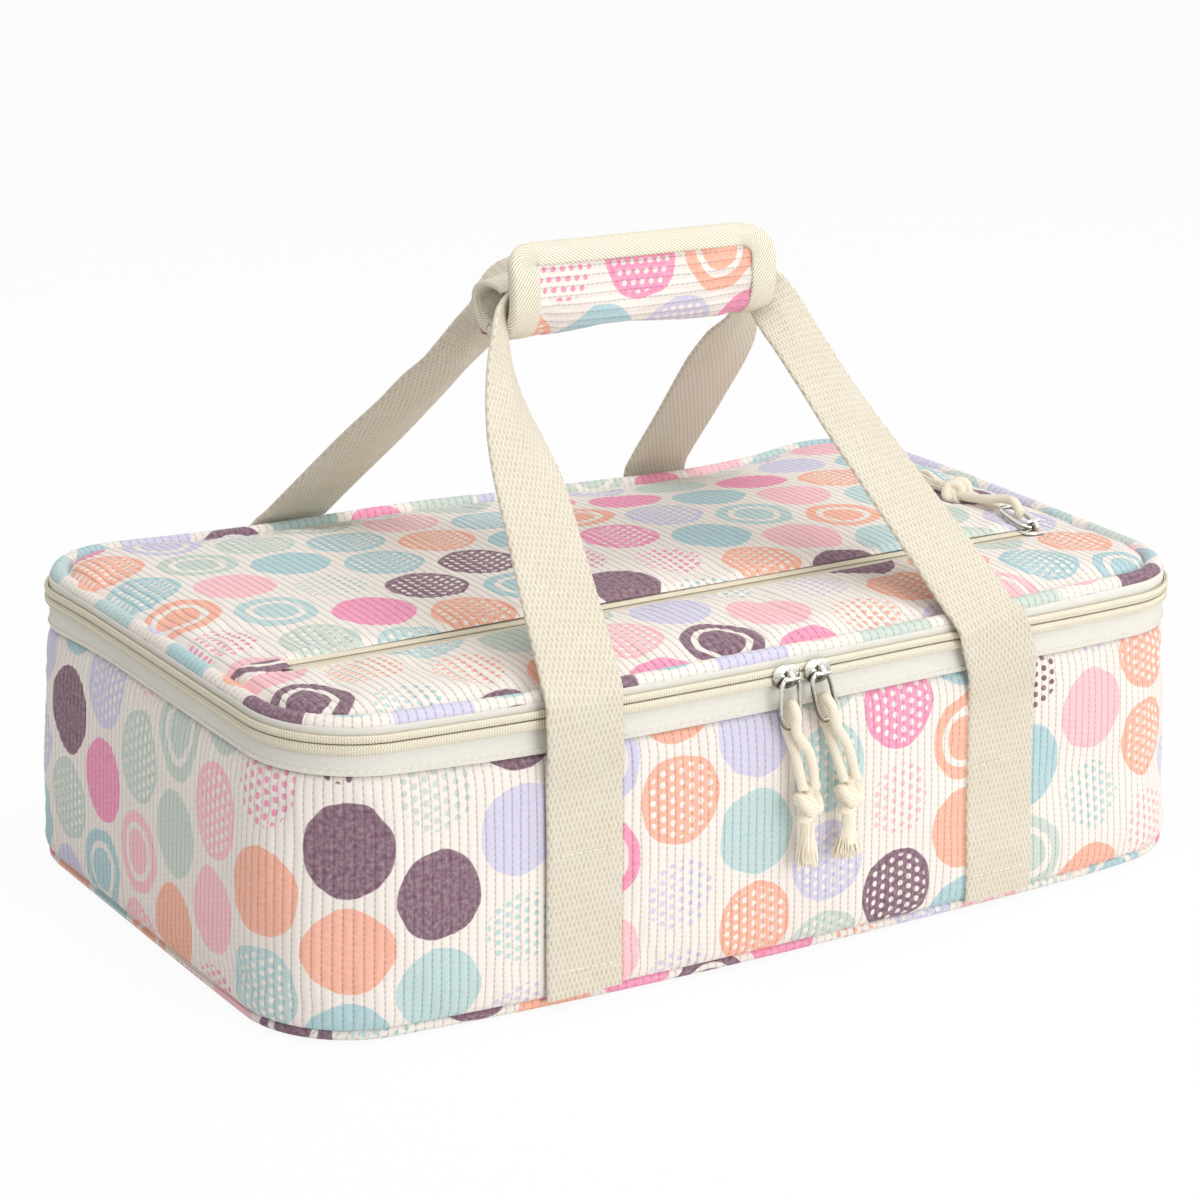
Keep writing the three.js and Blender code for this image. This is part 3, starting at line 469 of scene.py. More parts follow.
def print_cloth(name, dotted=1.0):
    """Cream ribbed cotton with a half-drop print of plain spots, rings and dotted spots.

    dotted 0 leaves out the dots, for a band so narrow that a cut row of them would look like letters."""
    k = Nodes(name)
    flat = k.mm()
    u, v, _ = k.split(flat)
    column = (u / SPOT_WIDE).floor()
    lifted = v + column.pingpong(1.0) * (SPOT_TALL / 2)
    row = (lifted / SPOT_TALL).floor()
    a = u - column * SPOT_WIDE - SPOT_WIDE / 2
    b = lifted - row * SPOT_TALL - SPOT_TALL / 2
    r = k.length(a, b) + (k.noise(flat, 0.07, 1.0) - 0.5) * 4.0
    ink_pick = k.white(k.join(column, row, 3.3))
    style = k.white(k.join(column, row, 8.1))
    ink = k.ramp(ink_pick, [(n / len(INKS), c) for n, c in enumerate(INKS)], "CONSTANT")
    # A ring leaves a pale band inside the spot.
    gap = k.step(r, 8.4, 8.9) * k.step(r, 11.2, 11.7, 1.0, 0.0)
    spot = k.step(r, 15.9, 16.4, 1.0, 0.0) * (1.0 - gap * (style > 0.84))
    # Small dots on their own half-drop grid.
    dot_v = v + (u / DOT_PITCH).floor().pingpong(1.0) * (DOT_PITCH / 2)
    from_dot = k.length(u.modulo(DOT_PITCH) - DOT_PITCH / 2, dot_v.modulo(DOT_PITCH) - DOT_PITCH / 2)
    dot = k.step(from_dot, 1.0, 1.3, 1.0, 0.0) * k.step(r, 13.6, 14.4, 1.0, 0.0)
    pale_dots = (style > 0.14) * (style < 0.42 * dotted)
    ink_dots = style < 0.14 * dotted
    mask = spot * (1.0 - dot * pale_dots) * (1.0 - ink_dots) + dot * ink_dots
    mottle = k.noise(flat, 0.55, 3.0, 0.6)
    ink = k.mix(k.step(mottle, 0.3, 0.75, 0.0, 0.22), ink, CREAM)
    cream = k.mix(k.noise(flat, 0.03, 2.0), CREAM, rgb(239, 230, 221))
    colour = k.mix(mask, cream, ink)
    # Ribs: fine stitched grooves along the cloth, darkened in dashes with painted shade.
    rib = u / RIB + 0.5
    groove = k.step(rib.off_middle(), 0.03, 0.11, 1.0, 0.0)
    dash = k.step((v / 2.3 + rib.floor() * 0.37).off_middle(), 0.22, 0.34, 1.0, 0.35)
    groove = groove * dash
    # Painted shade: the grooves are mixed towards a dark grey.
    colour = k.mix(groove * 0.42, colour, k.mix(0.72, colour, rgb(92, 84, 88)))
    # Fine plain weave and fibre unevenness.
    weave = u.wave(0.62) * v.wave(0.62)
    fibre = k.noise(k.stretched(flat, (2.2, 0.7, 1.0)), 1.0, 3.0, 0.6)
    colour = k.mix(k.step(fibre, 0.35, 0.7, 0.0, 0.08), colour, rgb(206, 196, 186))
    k.bump(weave * 0.10 + fibre * 0.35 - groove, 0.00030, 0.8)
    rough = k.step(fibre, 0.2, 0.8, 0.72, 0.9)
    return k.finish(colour, rough, Sheen_Weight=0.12, Sheen_Roughness=0.5, Specular_IOR_Level=0.3)


def webbing_cloth():
    """Cream cotton webbing: staggered columns of yarn along it, with short slots between them, darkened with painted
    shade.
    """
    k = Nodes("webbing")
    flat = k.mm()
    u, v, _ = k.split(flat)
    beat = v.wave(5.4)
    across = u / 1.95 + k.step(beat, -0.6, 0.6, -0.25, 0.25)
    fibre = k.noise(k.stretched(flat, (3.0, 1.2, 1.0)), 1.0, 4.0, 0.65)
    uneven = k.noise(k.stretched(flat, (0.45, 0.25, 1.0)), 1.0, 2.0)
    slot = k.step(across.off_middle(), 0.08, 0.5) * k.step(abs(beat), 0.0, 0.8, 0.3, 1.0)
    height = 1.0 - slot * k.step(uneven, 0.25, 0.75, 0.6, 1.0)
    stain = k.noise(flat, 0.035, 2.0)
    # The colour follows the height: painted shade darkens the slots between the yarn columns.
    colour = k.ramp(height, [(0.0, rgb(196, 186, 164)), (0.5, rgb(213, 205, 187)), (1.0, rgb(226, 219, 203))])
    colour = k.mix(k.step(fibre, 0.35, 0.75, 0.0, 0.2), colour, rgb(218, 207, 184))
    colour = k.mix(k.step(stain, 0.35, 0.7, 0.0, 0.15), colour, rgb(240, 230, 212), "MULTIPLY")
    k.bump(height + fibre * 0.25, 0.00038, 0.7)
    return k.finish(colour, k.step(fibre, 0.2, 0.8, 0.8, 0.95), Sheen_Weight=0.15, Specular_IOR_Level=0.25)


def twill_cloth():
    """Cream twill tape with slanting ridges."""
    k = Nodes("binding")
    flat = k.mm()
    u, v, _ = k.split(flat)
    ridge = k.step(((u + v * 0.75) / 1.4).off_middle(), 0.12, 0.5, 1.0, 0.0)
    fibre = k.noise(k.stretched(flat, (2.0, 2.0, 1.0)), 1.0, 4.0, 0.6)
    stain = k.noise(flat, 0.06, 2.0)
    # Painted shade: the colour darkens in the valleys between the ridges.
    colour = k.ramp(ridge, [(0.0, rgb(196, 184, 150)), (0.4, rgb(240, 232, 210)), (1.0, rgb(250, 246, 231))])
    colour = k.mix(k.step(fibre, 0.4, 0.75, 0.0, 0.15), colour, rgb(228, 216, 186))
    colour = k.mix(k.step(stain, 0.35, 0.7, 0.0, 0.12), colour, rgb(244, 234, 212), "MULTIPLY")
    k.bump(ridge + fibre * 0.3, 0.00028, 0.9)
    return k.finish(colour, k.step(fibre, 0.2, 0.8, 0.75, 0.92), Sheen_Weight=0.12, Specular_IOR_Level=0.3)


def tape_cloth(name, dark, middle, light):
    """Zip tape: a small herringbone."""
    k = Nodes(name)
    flat = k.mm()
    u, v, _ = k.split(flat)
    ridge = k.step(((u + v.pingpong(1.7)) / 0.85).off_middle(), 0.1, 0.5, 1.0, 0.0)
    fibre = k.noise(flat, 1.6, 3.0, 0.6)
    # Painted shade: the colour darkens in the valleys of the herringbone.
    colour = k.ramp(ridge, [(0.0, dark), (0.5, middle), (1.0, light)])
    colour = k.mix(k.step(fibre, 0.4, 0.8, 0.0, 0.15), colour, rgb(232, 225, 210))
    k.bump(ridge + fibre * 0.3, 0.00022, 0.8)
    return k.finish(colour, k.step(fibre, 0.2, 0.8, 0.7, 0.88), Sheen_Weight=0.08, Specular_IOR_Level=0.3)


def coil_plastic():
    """Pale nylon coil, with painted shade between its teeth and along its edges."""
    k = Nodes("zip_coil")
    place = k.place()
    fine = k.noise(place, 2.5, 3.0)
    colour = k.mix(k.noise(place, 0.12, 3.0), rgb(248, 242, 224), rgb(241, 232, 206))
    colour = k.mix(k.step(fine, 0.45, 0.8, 0.0, 0.3), colour, rgb(250, 245, 226))
    u, v, _ = k.split(k.mm())
    tooth = k.step((u / 1.05 + v * 0.25).off_middle(), 0.22, 0.5)
    edge = abs(abs(v - 5.0) - 2.5)
    # Painted shade between the teeth and along the coil's upper and lower edges.
    colour = k.mix(tooth * 0.75, colour, rgb(196, 181, 147))
    colour = k.mix(k.step(edge, 0.15, 0.85, 0.6, 0.0), colour, rgb(178, 162, 132))
    k.bump(fine * 0.3 - tooth, 0.0003, 0.8)
    return k.finish(colour, k.step(fine, 0.2, 0.8, 0.24, 0.42), Coat_Weight=0.25, Coat_Roughness=0.2)


def nickel_metal():
    """Polished nickel with a painted reflection: dark where it slopes down, bright where it slopes up, with faint wear.
    """
    k = Nodes("nickel")
    wear = k.noise(k.place(), 1.2, 3.0, 0.6)
    # Painted reflection: the colour follows how far the surface faces up, with a painted highlight near the top.
    painted_reflection_slope = k.split(k.coordinate("Normal"))[2] + (wear - 0.5) * 0.25
    stops = [
        (0.0, rgb(158, 153, 144)),
        (0.4, rgb(118, 112, 103)),
        (0.54, rgb(216, 213, 206)),
        (0.76, rgb(243, 242, 238)),
        (1.0, rgb(222, 219, 212)),
    ]
    colour = k.ramp(k.step(painted_reflection_slope, -1.0, 1.0), stops)
    colour = k.mix(k.step(wear, 0.55, 0.8, 0.0, 0.2), colour, rgb(160, 154, 144))
    k.bump(wear, 0.00002, 0.4)
    return k.finish(colour, k.step(wear, 0.3, 0.8, 0.1, 0.24), Metallic=1.0)


def cotton_cord():
    """Natural cotton cord with a smooth, faintly twisted face. Its UV runs round in u and along in v."""
    k = Nodes("cotton_cord")
    u, v, _ = k.split(k.mm())
    ridge = k.step((u / (100 / 9) + v / 2.6).off_middle(), 0.1, 0.5, 1.0, 0.0)
    fibre = k.noise(k.stretched(k.place(), (2.0, 2.0, 0.8)), 1.4, 4.0, 0.65)
    # Painted shade: the colour darkens in the grooves of the twist.
    colour = k.ramp(ridge, [(0.0, rgb(228, 216, 194)), (0.45, rgb(238, 229, 210)), (1.0, rgb(242, 235, 218))])
    colour = k.mix(k.step(fibre, 0.35, 0.75, 0.0, 0.25), colour, rgb(229, 214, 186))
    k.bump(ridge * 0.25 + fibre * 0.5, 0.00012, 0.7)
    return k.finish(colour, k.step(fibre, 0.2, 0.8, 0.8, 0.95), Sheen_Weight=0.2, Specular_IOR_Level=0.2)


def frayed_cotton():
    """Loose yarn ends, paler than the cord."""
    k = Nodes("frayed_cotton")
    place = k.place()
    strand = k.noise(k.stretched(place, (1.6, 1.6, 0.12)), 1.0, 2.0)
    fibre = k.noise(place, 2.2, 3.0, 0.6)
    colour = k.mix(k.step(strand, 0.3, 0.7), rgb(252, 246, 232), rgb(240, 228, 202))
    colour = k.mix(k.step(fibre, 0.4, 0.8, 0.0, 0.2), colour, rgb(232, 218, 190))
    k.bump(fibre, 0.0001, 0.6)
    return k.finish(colour, k.step(fibre, 0.2, 0.8, 0.85, 0.97), Sheen_Weight=0.3, Specular_IOR_Level=0.1)


def lining_cloth():
    """Pale coated lining with a fine embossed grid and soft creases."""
    k = Nodes("lining")
    flat = k.mm()
    u, v, _ = k.split(flat)
    p, q = (k.step((slant / 6.0).off_middle(), 0.44, 0.49) for slant in (u + v, u - v))
    line = k.math("MAXIMUM", p, q)
    crease = k.noise(flat, 0.035, 4.0, 0.55)
    fine = k.noise(flat, 1.2, 3.0, 0.6)
    colour = k.mix(crease, rgb(240, 237, 230), rgb(226, 222, 214))
    # Painted shade darkens the recessed embossed grid lines.
    colour = k.mix(line * 0.25, colour, rgb(196, 192, 186))
    colour = k.mix(k.step(fine, 0.45, 0.8, 0.0, 0.12), colour, rgb(208, 202, 192))
    k.bump(crease * 3.0 + line * -0.4 + fine * 0.2, 0.0005, 0.6)
    return k.finish(colour, k.step(fine, 0.2, 0.8, 0.42, 0.6), Sheen_Weight=0.05)


def thread_cotton():
    k = Nodes("thread")
    fibre = k.noise(k.place(), 2.4, 3.0, 0.6)
    k.bump(fibre, 0.0001, 0.8)
    colour = k.mix(fibre, rgb(250, 247, 238), rgb(226, 216, 196))
    return k.finish(colour, k.step(fibre, 0.2, 0.8, 0.6, 0.85), Sheen_Weight=0.1)


PRINT = print_cloth("print_fabric")
NARROW_PRINT = print_cloth("narrow_print_fabric", 0.0)
WEBBING = webbing_cloth()
TWILL = twill_cloth()
TAPE = tape_cloth("zip_tape", rgb(222, 217, 203), rgb(246, 243, 233), rgb(252, 250, 243))
POCKET_TAPE = tape_cloth("pocket_tape", rgb(208, 196, 166), rgb(242, 232, 206), rgb(249, 241, 220))
COIL = coil_plastic()
NICKEL = nickel_metal()
CORD = cotton_cord()
FRAY = frayed_cotton()
LINING = lining_cloth()
THREAD = thread_cotton()

# Pulls: a wire ring, a doubled cord over its lower bar, a knot and a frayed tassel. Local axes: x to the
# right, -y out of the face, -z down from the ring's upper bar.
RING_WIDE, RING_TALL, WIRE_R = 8.2, 19.0, 0.92
CORD_R, KNOT_CORD_R = 1.95, 2.15
STRANDS, STRAND_ANGLE = 190, 2.39996


def rolled(p, roll):
    """Turns points of a ring, or of the cord in it, about a point 5 mm below the ring's upper bar."""
    p = np.array(p, float)
    down = -p[..., 2] - 5
    x = p[..., 0] * math.cos(roll) + down * math.sin(roll)
    z = p[..., 0] * math.sin(roll) - down * math.cos(roll)
    return np.stack([x, p[..., 1], z - 5], -1)


def rounded_box(count, power):
    """A ring of points between a circle (power 1) and a square (power 0), 2 by 2 in size."""
    c, s = np.cos(circle(count)), np.sin(circle(count))
    return np.sign(c) * np.abs(c) ** power, np.sign(s) * np.abs(s) ** power


def ring_path(lean, roll):
    x, z = rounded_box(72, 0.6)
    drop = RING_TALL / 2 * (1 + z)
    return rolled(np.stack([RING_WIDE / 2 * x, -lean * drop / RING_TALL, -drop], 1), roll)


def pull(prefix, to_frame, lean, stand, sway, roll, flared, seed):
    """to_frame turns local millimetres into the carrier's frame."""
    wild = np.random.default_rng(seed)
    body = f"{prefix}_pull"
    turn = 3.5
    inside = [(0, turn, -19), (0, turn, -13), (0, 0, -9.5), (0, -turn, -13), (0, -turn, -19)]
    route = np.array(
        [
            (sway - 2.6, -stand, -42.7),
            (sway * 0.68 - 2.08, -stand * 0.5 - (lean - turn) * 0.5, -29),
            *rolled(np.array(inside) - (0, lean, 0), roll),
            (sway * 0.68 + 2.08, -stand * 0.5 - (lean + turn) * 0.5, -29),
            (sway + 2.6, -stand, -42.7),
        ]
    )
    path = to_frame(spline(route, 0.7))
    wire = tube(to_frame(ring_path(lean, roll)), WIRE_R, 12, closed=True)
    piece(f"{prefix}_ring", wire, NICKEL, body, [f"{prefix}_pull_ring"])
    cord = piece(f"{prefix}_cord", tube(path, CORD_R, 14), CORD, body, [f"{prefix}_pull_cord"])
    heart = np.array([sway, -stand, -48.5])
    parts = []
    # An overhand knot: the doubled cord goes once round itself.
    tilt = np.array([[0.96, 0, 0.28], [0, 1, 0], [-0.28, 0, 0.96]])
    for dx, dy in ((-1.5, -0.5), (1.5, 0.5)):
        way = [
            (dx * 1.3, 0.6, 6.6),
            (dx + 2.2, 2.6, 3.4),
            (dx + 3.3, 0.4, 0.4),
            (dx + 1.4, -3.1, -1.6),
            (dx - 2.2, -3.2, 0.2),
            (dx - 3.2, 0.2, 2.2),
            (dx - 1.6, 3.0, 1.0),
            (dx + 0.6, 1.2, -2.2),
            (dx * 0.9, -0.2, -7.2),
        ]
        way = (np.array(way) + (0, dy, 0.9 * dy)) @ tilt.T + heart
        parts += tube(to_frame(spline(way, 0.6)), KNOT_CORD_R, 14)
    knot = piece(f"{prefix}_knot", parts, CORD, body, [f"{prefix}_pull_knot"])
    steps = np.linspace(0, 1, 9)
    core = heart + np.stack([0 * steps, 0 * steps, -5 - 14 * steps], 1)
    threads = tube(to_frame(core), 2.2 + (0.3 * flared - 0.9) * steps**2.5, 16)
    deep = min(1.0, 4.2 / flared)
    for n in range(STRANDS):
        angle = n * STRAND_ANGLE
        share = math.sqrt((n + 0.5) / STRANDS)
        out = np.array([math.cos(angle), deep * math.sin(angle), 0])
        reach = flared * share + wild.uniform(-0.3, 0.6)
        foot = -5.6 - wild.uniform(16.4, 19.2)
        curl = wild.uniform(-0.7, 0.7, (2, 3)) * (1, 0.7, 0.2)
        way = [
            heart + out * 2.35 * share + (0, 0, -7),
            heart + out * (2.45 * share + 0.1) + (0, 0, -13) + curl[0] * 0.3,
            heart + out * (0.55 * reach + 1.1 * share) + (0, 0, -18.5) + curl[1],
            heart + out * reach + (0, 0, foot),
        ]
        line = spline(way, 2.0)
        threads += tube(to_frame(line), np.linspace(0.4, 0.24, len(line)), 5)
    tassel = piece(f"{prefix}_tassel", threads, FRAY, body, [f"{prefix}_pull_tassel"])
    (to_frame(rolled([[0, -lean, -17.2]], roll))[0] * MM).tolist()
    (path * MM).tolist()


# The main sliders: name, x, sway and roll of the pull, flare of the tassel and its random seed. EYE and EYE_UP
# place the ring's upper bar out from the zip and above its middle.
MAIN = (("left", -9.5, 5.6, 0.0, 4.2, 3), ("right", 4.5, 10.4, math.radians(14), 6.4, 4))
EYE, EYE_UP, SLIDER_UP = 5.7, 2.5, 2.4


def on_front(x):
    """A turn, an outward direction and a place for what sits on the zip at the front."""
    normal = np.array([x / ARC_R, -math.sqrt(1 - (x / ARC_R) ** 2)])
    turned = np.array([[-normal[1], -normal[0], 0], [normal[0], -normal[1], 0], [0, 0, 1]])
    return turned, normal, np.array([ARC_R * normal[0], ARC_C + ARC_R * normal[1], ZIP_Z])


for prefix, x, sway, roll, flared, seed in MAIN:
    turned, normal, place = on_front(x)
    origin = place + (*normal * EYE, EYE_UP)
    pull(prefix, lambda p, m=turned, o=origin: p @ m.T + o, 1.0, 5.7, sway, roll, flared, seed)

LAID = np.array([[-1.0, 0, 0], [0, 0, -1], [0, -1, 0]])


def on_lid(p, z):
    """Lays what stands upright at a slider flat on the lid, at the pocket's slider."""
    return p @ LAID + np.array([POCKET_SLIDER_X, POCKET_Y, z])


pull("pocket", lambda p: on_lid(p, 125.2), 3.8, 3.8, 3.0, 0.0, 4.4, 5)


def dome(width, height, thick, curve):
    """A domed plate in local axes: x by z, standing out along -y. Its edge is rounded."""
    x, z = rounded_box(40, 0.75)
    rows = [(1.0, 0.0), (1.0, -thick * 0.55), (0.97, -thick * 0.85), (0.9, -thick)]
    rows += [(k, -thick - curve * (1 - (k / 0.9) ** 2)) for k in (0.75, 0.55, 0.35, 0.15)]
    P = np.array([np.stack([x * width / 2 * k, 0 * x + y, z * height / 2 * k], 1) for k, y in rows])
    uv = np.zeros((len(rows), 41, 2))
    return [sheet_part(P, uv, False, True), fan_part(P[-1]), fan_part(P[0], True)]


def slider_parts(front, behind, lift):
    """A zip slider: domed face, plain back, and a bridge that holds the ring."""
    shapes = [(V + (0, -front, lift * 0.5), F, uv) for V, F, uv in dome(11.6, 9.4, 1.0, 0.9)]
    shapes += [(V + (0, behind + 1.0, 0), F, uv) for V, F, uv in dome(11.0, 8.8, 1.0, 0.0)]
    neck = np.linspace(0, 1, 6)
    shapes += tube(np.stack([neck * 0 + 3.5, -front + neck * (front + behind), neck * 0], 1), 0.55, 8)
    t = np.linspace(0, PI, 24)
    bridge = np.stack([np.zeros(24), -front - 1.1 - 3.6 * np.sin(t) ** 0.8, lift - 2.6 * np.cos(t)], 1)
    shapes += tube(bridge, 0.85 + 0.35 * np.sin(t))
    wide = np.stack([np.linspace(-3.4, 3.4, 9), np.full(9, -front - 4.6), np.full(9, lift)], 1)
    return shapes + tube(wide, [0.5, 0.75, 0.9, 1.0, 1.05, 1.0, 0.9, 0.75, 0.5])


for prefix, x, *_ in MAIN:
    turned, _, place = on_front(x)
    place[2] += SLIDER_UP
    shapes = [(V @ turned.T + place, F, uv) for V, F, uv in slider_parts(2.5, 1.0, EYE_UP - SLIDER_UP)]
    piece(f"{prefix}_zip_slider", shapes, NICKEL, f"{prefix}_slider_body", [f"{prefix}_slider"])
shapes = [(on_lid(V, 122.7), F, uv) for V, F, uv in slider_parts(0.3, 2.8, 0)]
piece("pocket_zip_slider", shapes, NICKEL, "pocket_slider_body", ["pocket_slider"])

# Padded cloth: a coarse copy of the piece swells under pressure, held along its seams, and the finished mesh
# takes over its shape.
CLOTH = {
    "quality": 6,
    "mass": 0.25,
    "tension_stiffness": 12,
    "compression_stiffness": 12,
    "shear_stiffness": 5,
    "bending_stiffness": 2.0,
    "vertex_group_mass": "hold",
    "pin_stiffness": 1.0,
    "use_pressure": True,
    "shrink_min": -0.012,
}
CLOTH_STEPS = 20


def swell(name, P, hold, pressure, cap, closed=False, flip=False):
    """How far each point of a coarse grid moves, at most cap. hold is 1 on seams, 0 where the cloth is free."""
    n, m = P.shape[:2]
    V, F, _ = sheet_part(P, np.zeros((n + closed, m, 2)), closed, False, flip)
    mesh = bpy.data.meshes.new(name)
    mesh.from_pydata((V * MM).tolist(), [], F.tolist())
    obj = bpy.data.objects.new(name, mesh)
    scene.collection.objects.link(obj)
    group = obj.vertex_groups.new(name="hold")
    for k, weight in enumerate(np.asarray(hold, float).ravel()):
        if weight > 0:
            group.add([k], float(weight), "REPLACE")
    cloth = obj.modifiers.new("cloth", "CLOTH")
    for key, value in CLOTH.items():
        setattr(cloth.settings, key, value)
    cloth.settings.uniform_pressure_force = pressure
    cloth.settings.effector_weights.gravity = 0
    cloth.collision_settings.use_collision = False
    cloth.point_cache.frame_end = CLOTH_STEPS
    for step in range(1, CLOTH_STEPS + 1):
        scene.frame_set(step)
    shaped = obj.evaluated_get(bpy.context.evaluated_depsgraph_get()).data
    moved = np.empty(len(V) * 3, np.float32)
    shaped.vertices.foreach_get("co", moved)
    scene.frame_set(1)
    bpy.data.objects.remove(obj, do_unlink=True)
    bpy.data.meshes.remove(mesh)
    move = moved.reshape(-1, 3) / MM - V
    far = np.linalg.norm(move, axis=1, keepdims=True)
    return (move * cap * np.tanh(far / cap) / np.maximum(far, 1e-6)).reshape(n, m, 3)


def spread(move, u, v, wrap_u=False):
    """Values of a coarse grid, whose sides run from 0 to 1, at each pair of finer places."""
    n, m = move.shape[:2]
    u, v = np.meshgrid(u, v, indexing="ij")
    a = np.clip(u, 0, 1) * (n if wrap_u else n - 1)
    b = np.clip(v, 0, 1) * (m - 1)
    i, j = np.floor(a).astype(int), np.minimum(np.floor(b).astype(int), m - 2)
    if not wrap_u:
        i = np.minimum(i, n - 2)
    f, g = ease(0, 1, a - i)[..., None], ease(0, 1, b - j)[..., None]
    i0, i1 = i % n, (i + 1) % n
    return (
        move[i0, j] * (1 - f) * (1 - g)
        + move[i1, j] * f * (1 - g)
        + move[i0, j + 1] * (1 - f) * g
        + move[i1, j + 1] * f * g
    )


def flare(z):
    return 2.5 * (WALL_TOP - np.asarray(z, float)) / (WALL_TOP - WALL_FOOT)


def bulge(z):
    return 0.6 * np.sin(PI * np.clip((np.asarray(z, float) - WALL_FOOT) / 90, 0, 1)) ** 0.8


# Ribs: each has a groove at its start and a soft crown.
STEPS = np.array([0, 0.12, 0.3, 0.5, 0.7, 0.88])
CROWN = np.sin(PI * STEPS) ** 0.6


def rib_steps(count):
    """Places along ribs, counted in ribs."""
    return (np.arange(count)[:, None] + STEPS).ravel()


RIBS = int(round(LOOP / RIB))
RIB_UP = 0.38
rib_s = rib_steps(RIBS) * LOOP / RIBS
rib_up = np.tile(RIB_UP * CROWN, RIBS)
rib_u = np.append(rib_s / LOOP * RIBS * RIB, RIBS * RIB)

# Wall: a padded band from the base seam to the fold behind the zip tape.
wall_z = [4.2, 4.8, 5.4, 6.4, 8, 11, 15, 20, 26, 33, 40, 48, 56, 64, 72, 79, 85, 89, 92.5]
wall_z = np.array(wall_z + [94.8, 96.0, 96.7, 97.3, 99.5])
wall_in = -flare(wall_z) - bulge(wall_z)
wall_in[:5] += [3.4, 2.0, 1.2, 0.7, 0.3]
wall_in[-6:] += [0.0, 0.25, 0.8, 1.5, 2.2, 2.5]
COARSE_FOOT, COARSE_TOP = 5.5, 95
coarse_s = np.linspace(0, LOOP, 210, endpoint=False)
coarse_z = np.linspace(COARSE_FOOT, COARSE_TOP, 19)
coarse = settle(rim(coarse_s[:, None], -flare(coarse_z)[None], coarse_z[None]))
hold = np.zeros(coarse.shape[:2])
hold[:, [0, -1]] = 1
hold[(np.abs(np.abs(coarse[..., 0]) - STRAP_X) < 22) & (np.abs(coarse[..., 1]) > 95)] = 1
puff = swell("wall_swell", coarse, hold, 1.6, 1.6, True)
wall = rim(rib_s[:, None], wall_in[None], wall_z[None])
_, out = outline(rib_s)
fade = ease(4.8, 8, wall_z) * (1 - ease(94, 97, wall_z))
wall[..., :2] += out[:, None] * (rib_up[:, None] * fade[None])[..., None]
wall = settle(wall)
wall += spread(puff, rib_s / LOOP, (wall_z - COARSE_FOOT) / (COARSE_TOP - COARSE_FOOT), True)
parts = [sheet_part(wall, grid(rib_u, wall_z), True)]
obj = piece("wall", parts, PRINT, "bag", ["wall_outer", "wall_foam"])

# Base: the same cloth turned up round its edge, over a board. Its edge is in pairs of inset and height.
s = np.linspace(0, LOOP, 420, endpoint=False)
edge = [(0.2, 4.9), (-1.0, 4.6), (-1.7, 3.8), (-1.7, 2.6), (-0.9, 1.4), (0.8, 0.55), (4, 0.15), (10, 0.05)]
rows = [rim(s, i, z) for i, z in edge]
rows += [rows[-1] * (k, k, 1) for k in (0.86, 0.7, 0.5, 0.3, 0.1)]
rows = settle(np.stack(rows, 1))
_, n = outline(s)
turned_up = travel(np.array(edge))
uv = rows[:, len(edge) - 1, None, :2] + n[:, None] * (turned_up[-1] - turned_up)[None, :, None]
flat = np.concatenate([uv, rows[:, len(edge) :, :2]], 1)
flat = np.concatenate([flat, flat[:1]], 0) + 23
parts = [sheet_part(rows, flat, True, False, True), fan_part(rows[:, -1])]
obj = piece("base", parts, PRINT, "bag", ["base_panel", "base_board", "base_foam"])

# Lining of the tub, from the middle of its floor up to the rim.
s = np.linspace(0, LOOP, 500, endpoint=False)
edge = [(20, 9.5), (13, 9.7), (10, 10.6), (8.6, 12.5), (8.0, 16)]
edge += [(7.9, z) for z in (24, 36, 50, 64, 78)]
edge += [(8, 90), (8.5, 97), (8.6, 103), (8.6, 107.4)]
rows = [rim(s, *edge[0]) * (k, k, 1) for k in (0.05, 0.3, 0.55, 0.8)]
floor_rows = len(rows)
rows = np.stack(rows + [rim(s, i, z) for i, z in edge], 1)
z = rows[..., 2].copy()
crinkle = np.sin(s / 17)[:, None] * np.sin(z / 13) + np.sin(s / 29 + 1)[:, None] * np.cos(z / 9)
_, n = outline(s)
rows[..., :2] -= n[:, None] * (0.25 * crinkle * ease(14, 30, z) * (1 - ease(90, 100, z)))[..., None]
rows[..., 2] += 0.3 * np.sin(rows[..., 0] / 23) * np.sin(rows[..., 1] / 19) * (1 - ease(9.8, 11, z))
rows = settle(rows)
flat = rows[:, : floor_rows + 1, :2]
parts = [
    sheet_part(rows[:, floor_rows:], grid(np.append(s, LOOP), [z for _, z in edge]), True, False, True),
    sheet_part(rows[:, : floor_rows + 1], np.concatenate([flat, flat[:1]], 0), True, False, True),
    fan_part(rows[:, 0]),
]
lining = piece("tub_lining", parts, LINING, "bag", ["lining_tub"])


def band(section, s, closed):
    """A closed strip along the rim, from pairs of inset and height."""
    section = np.array(section)
    P = settle(rim(s[:, None], section[None, :, 0], section[None, :, 1]))
    along = np.append(s, s[-1] + s[1] - s[0]) if closed else s
    uv = grid(along, travel(np.vstack([section, section[:1]])))
    return [sheet_part(P, uv, True, True)] if closed else rod_parts(P, uv)


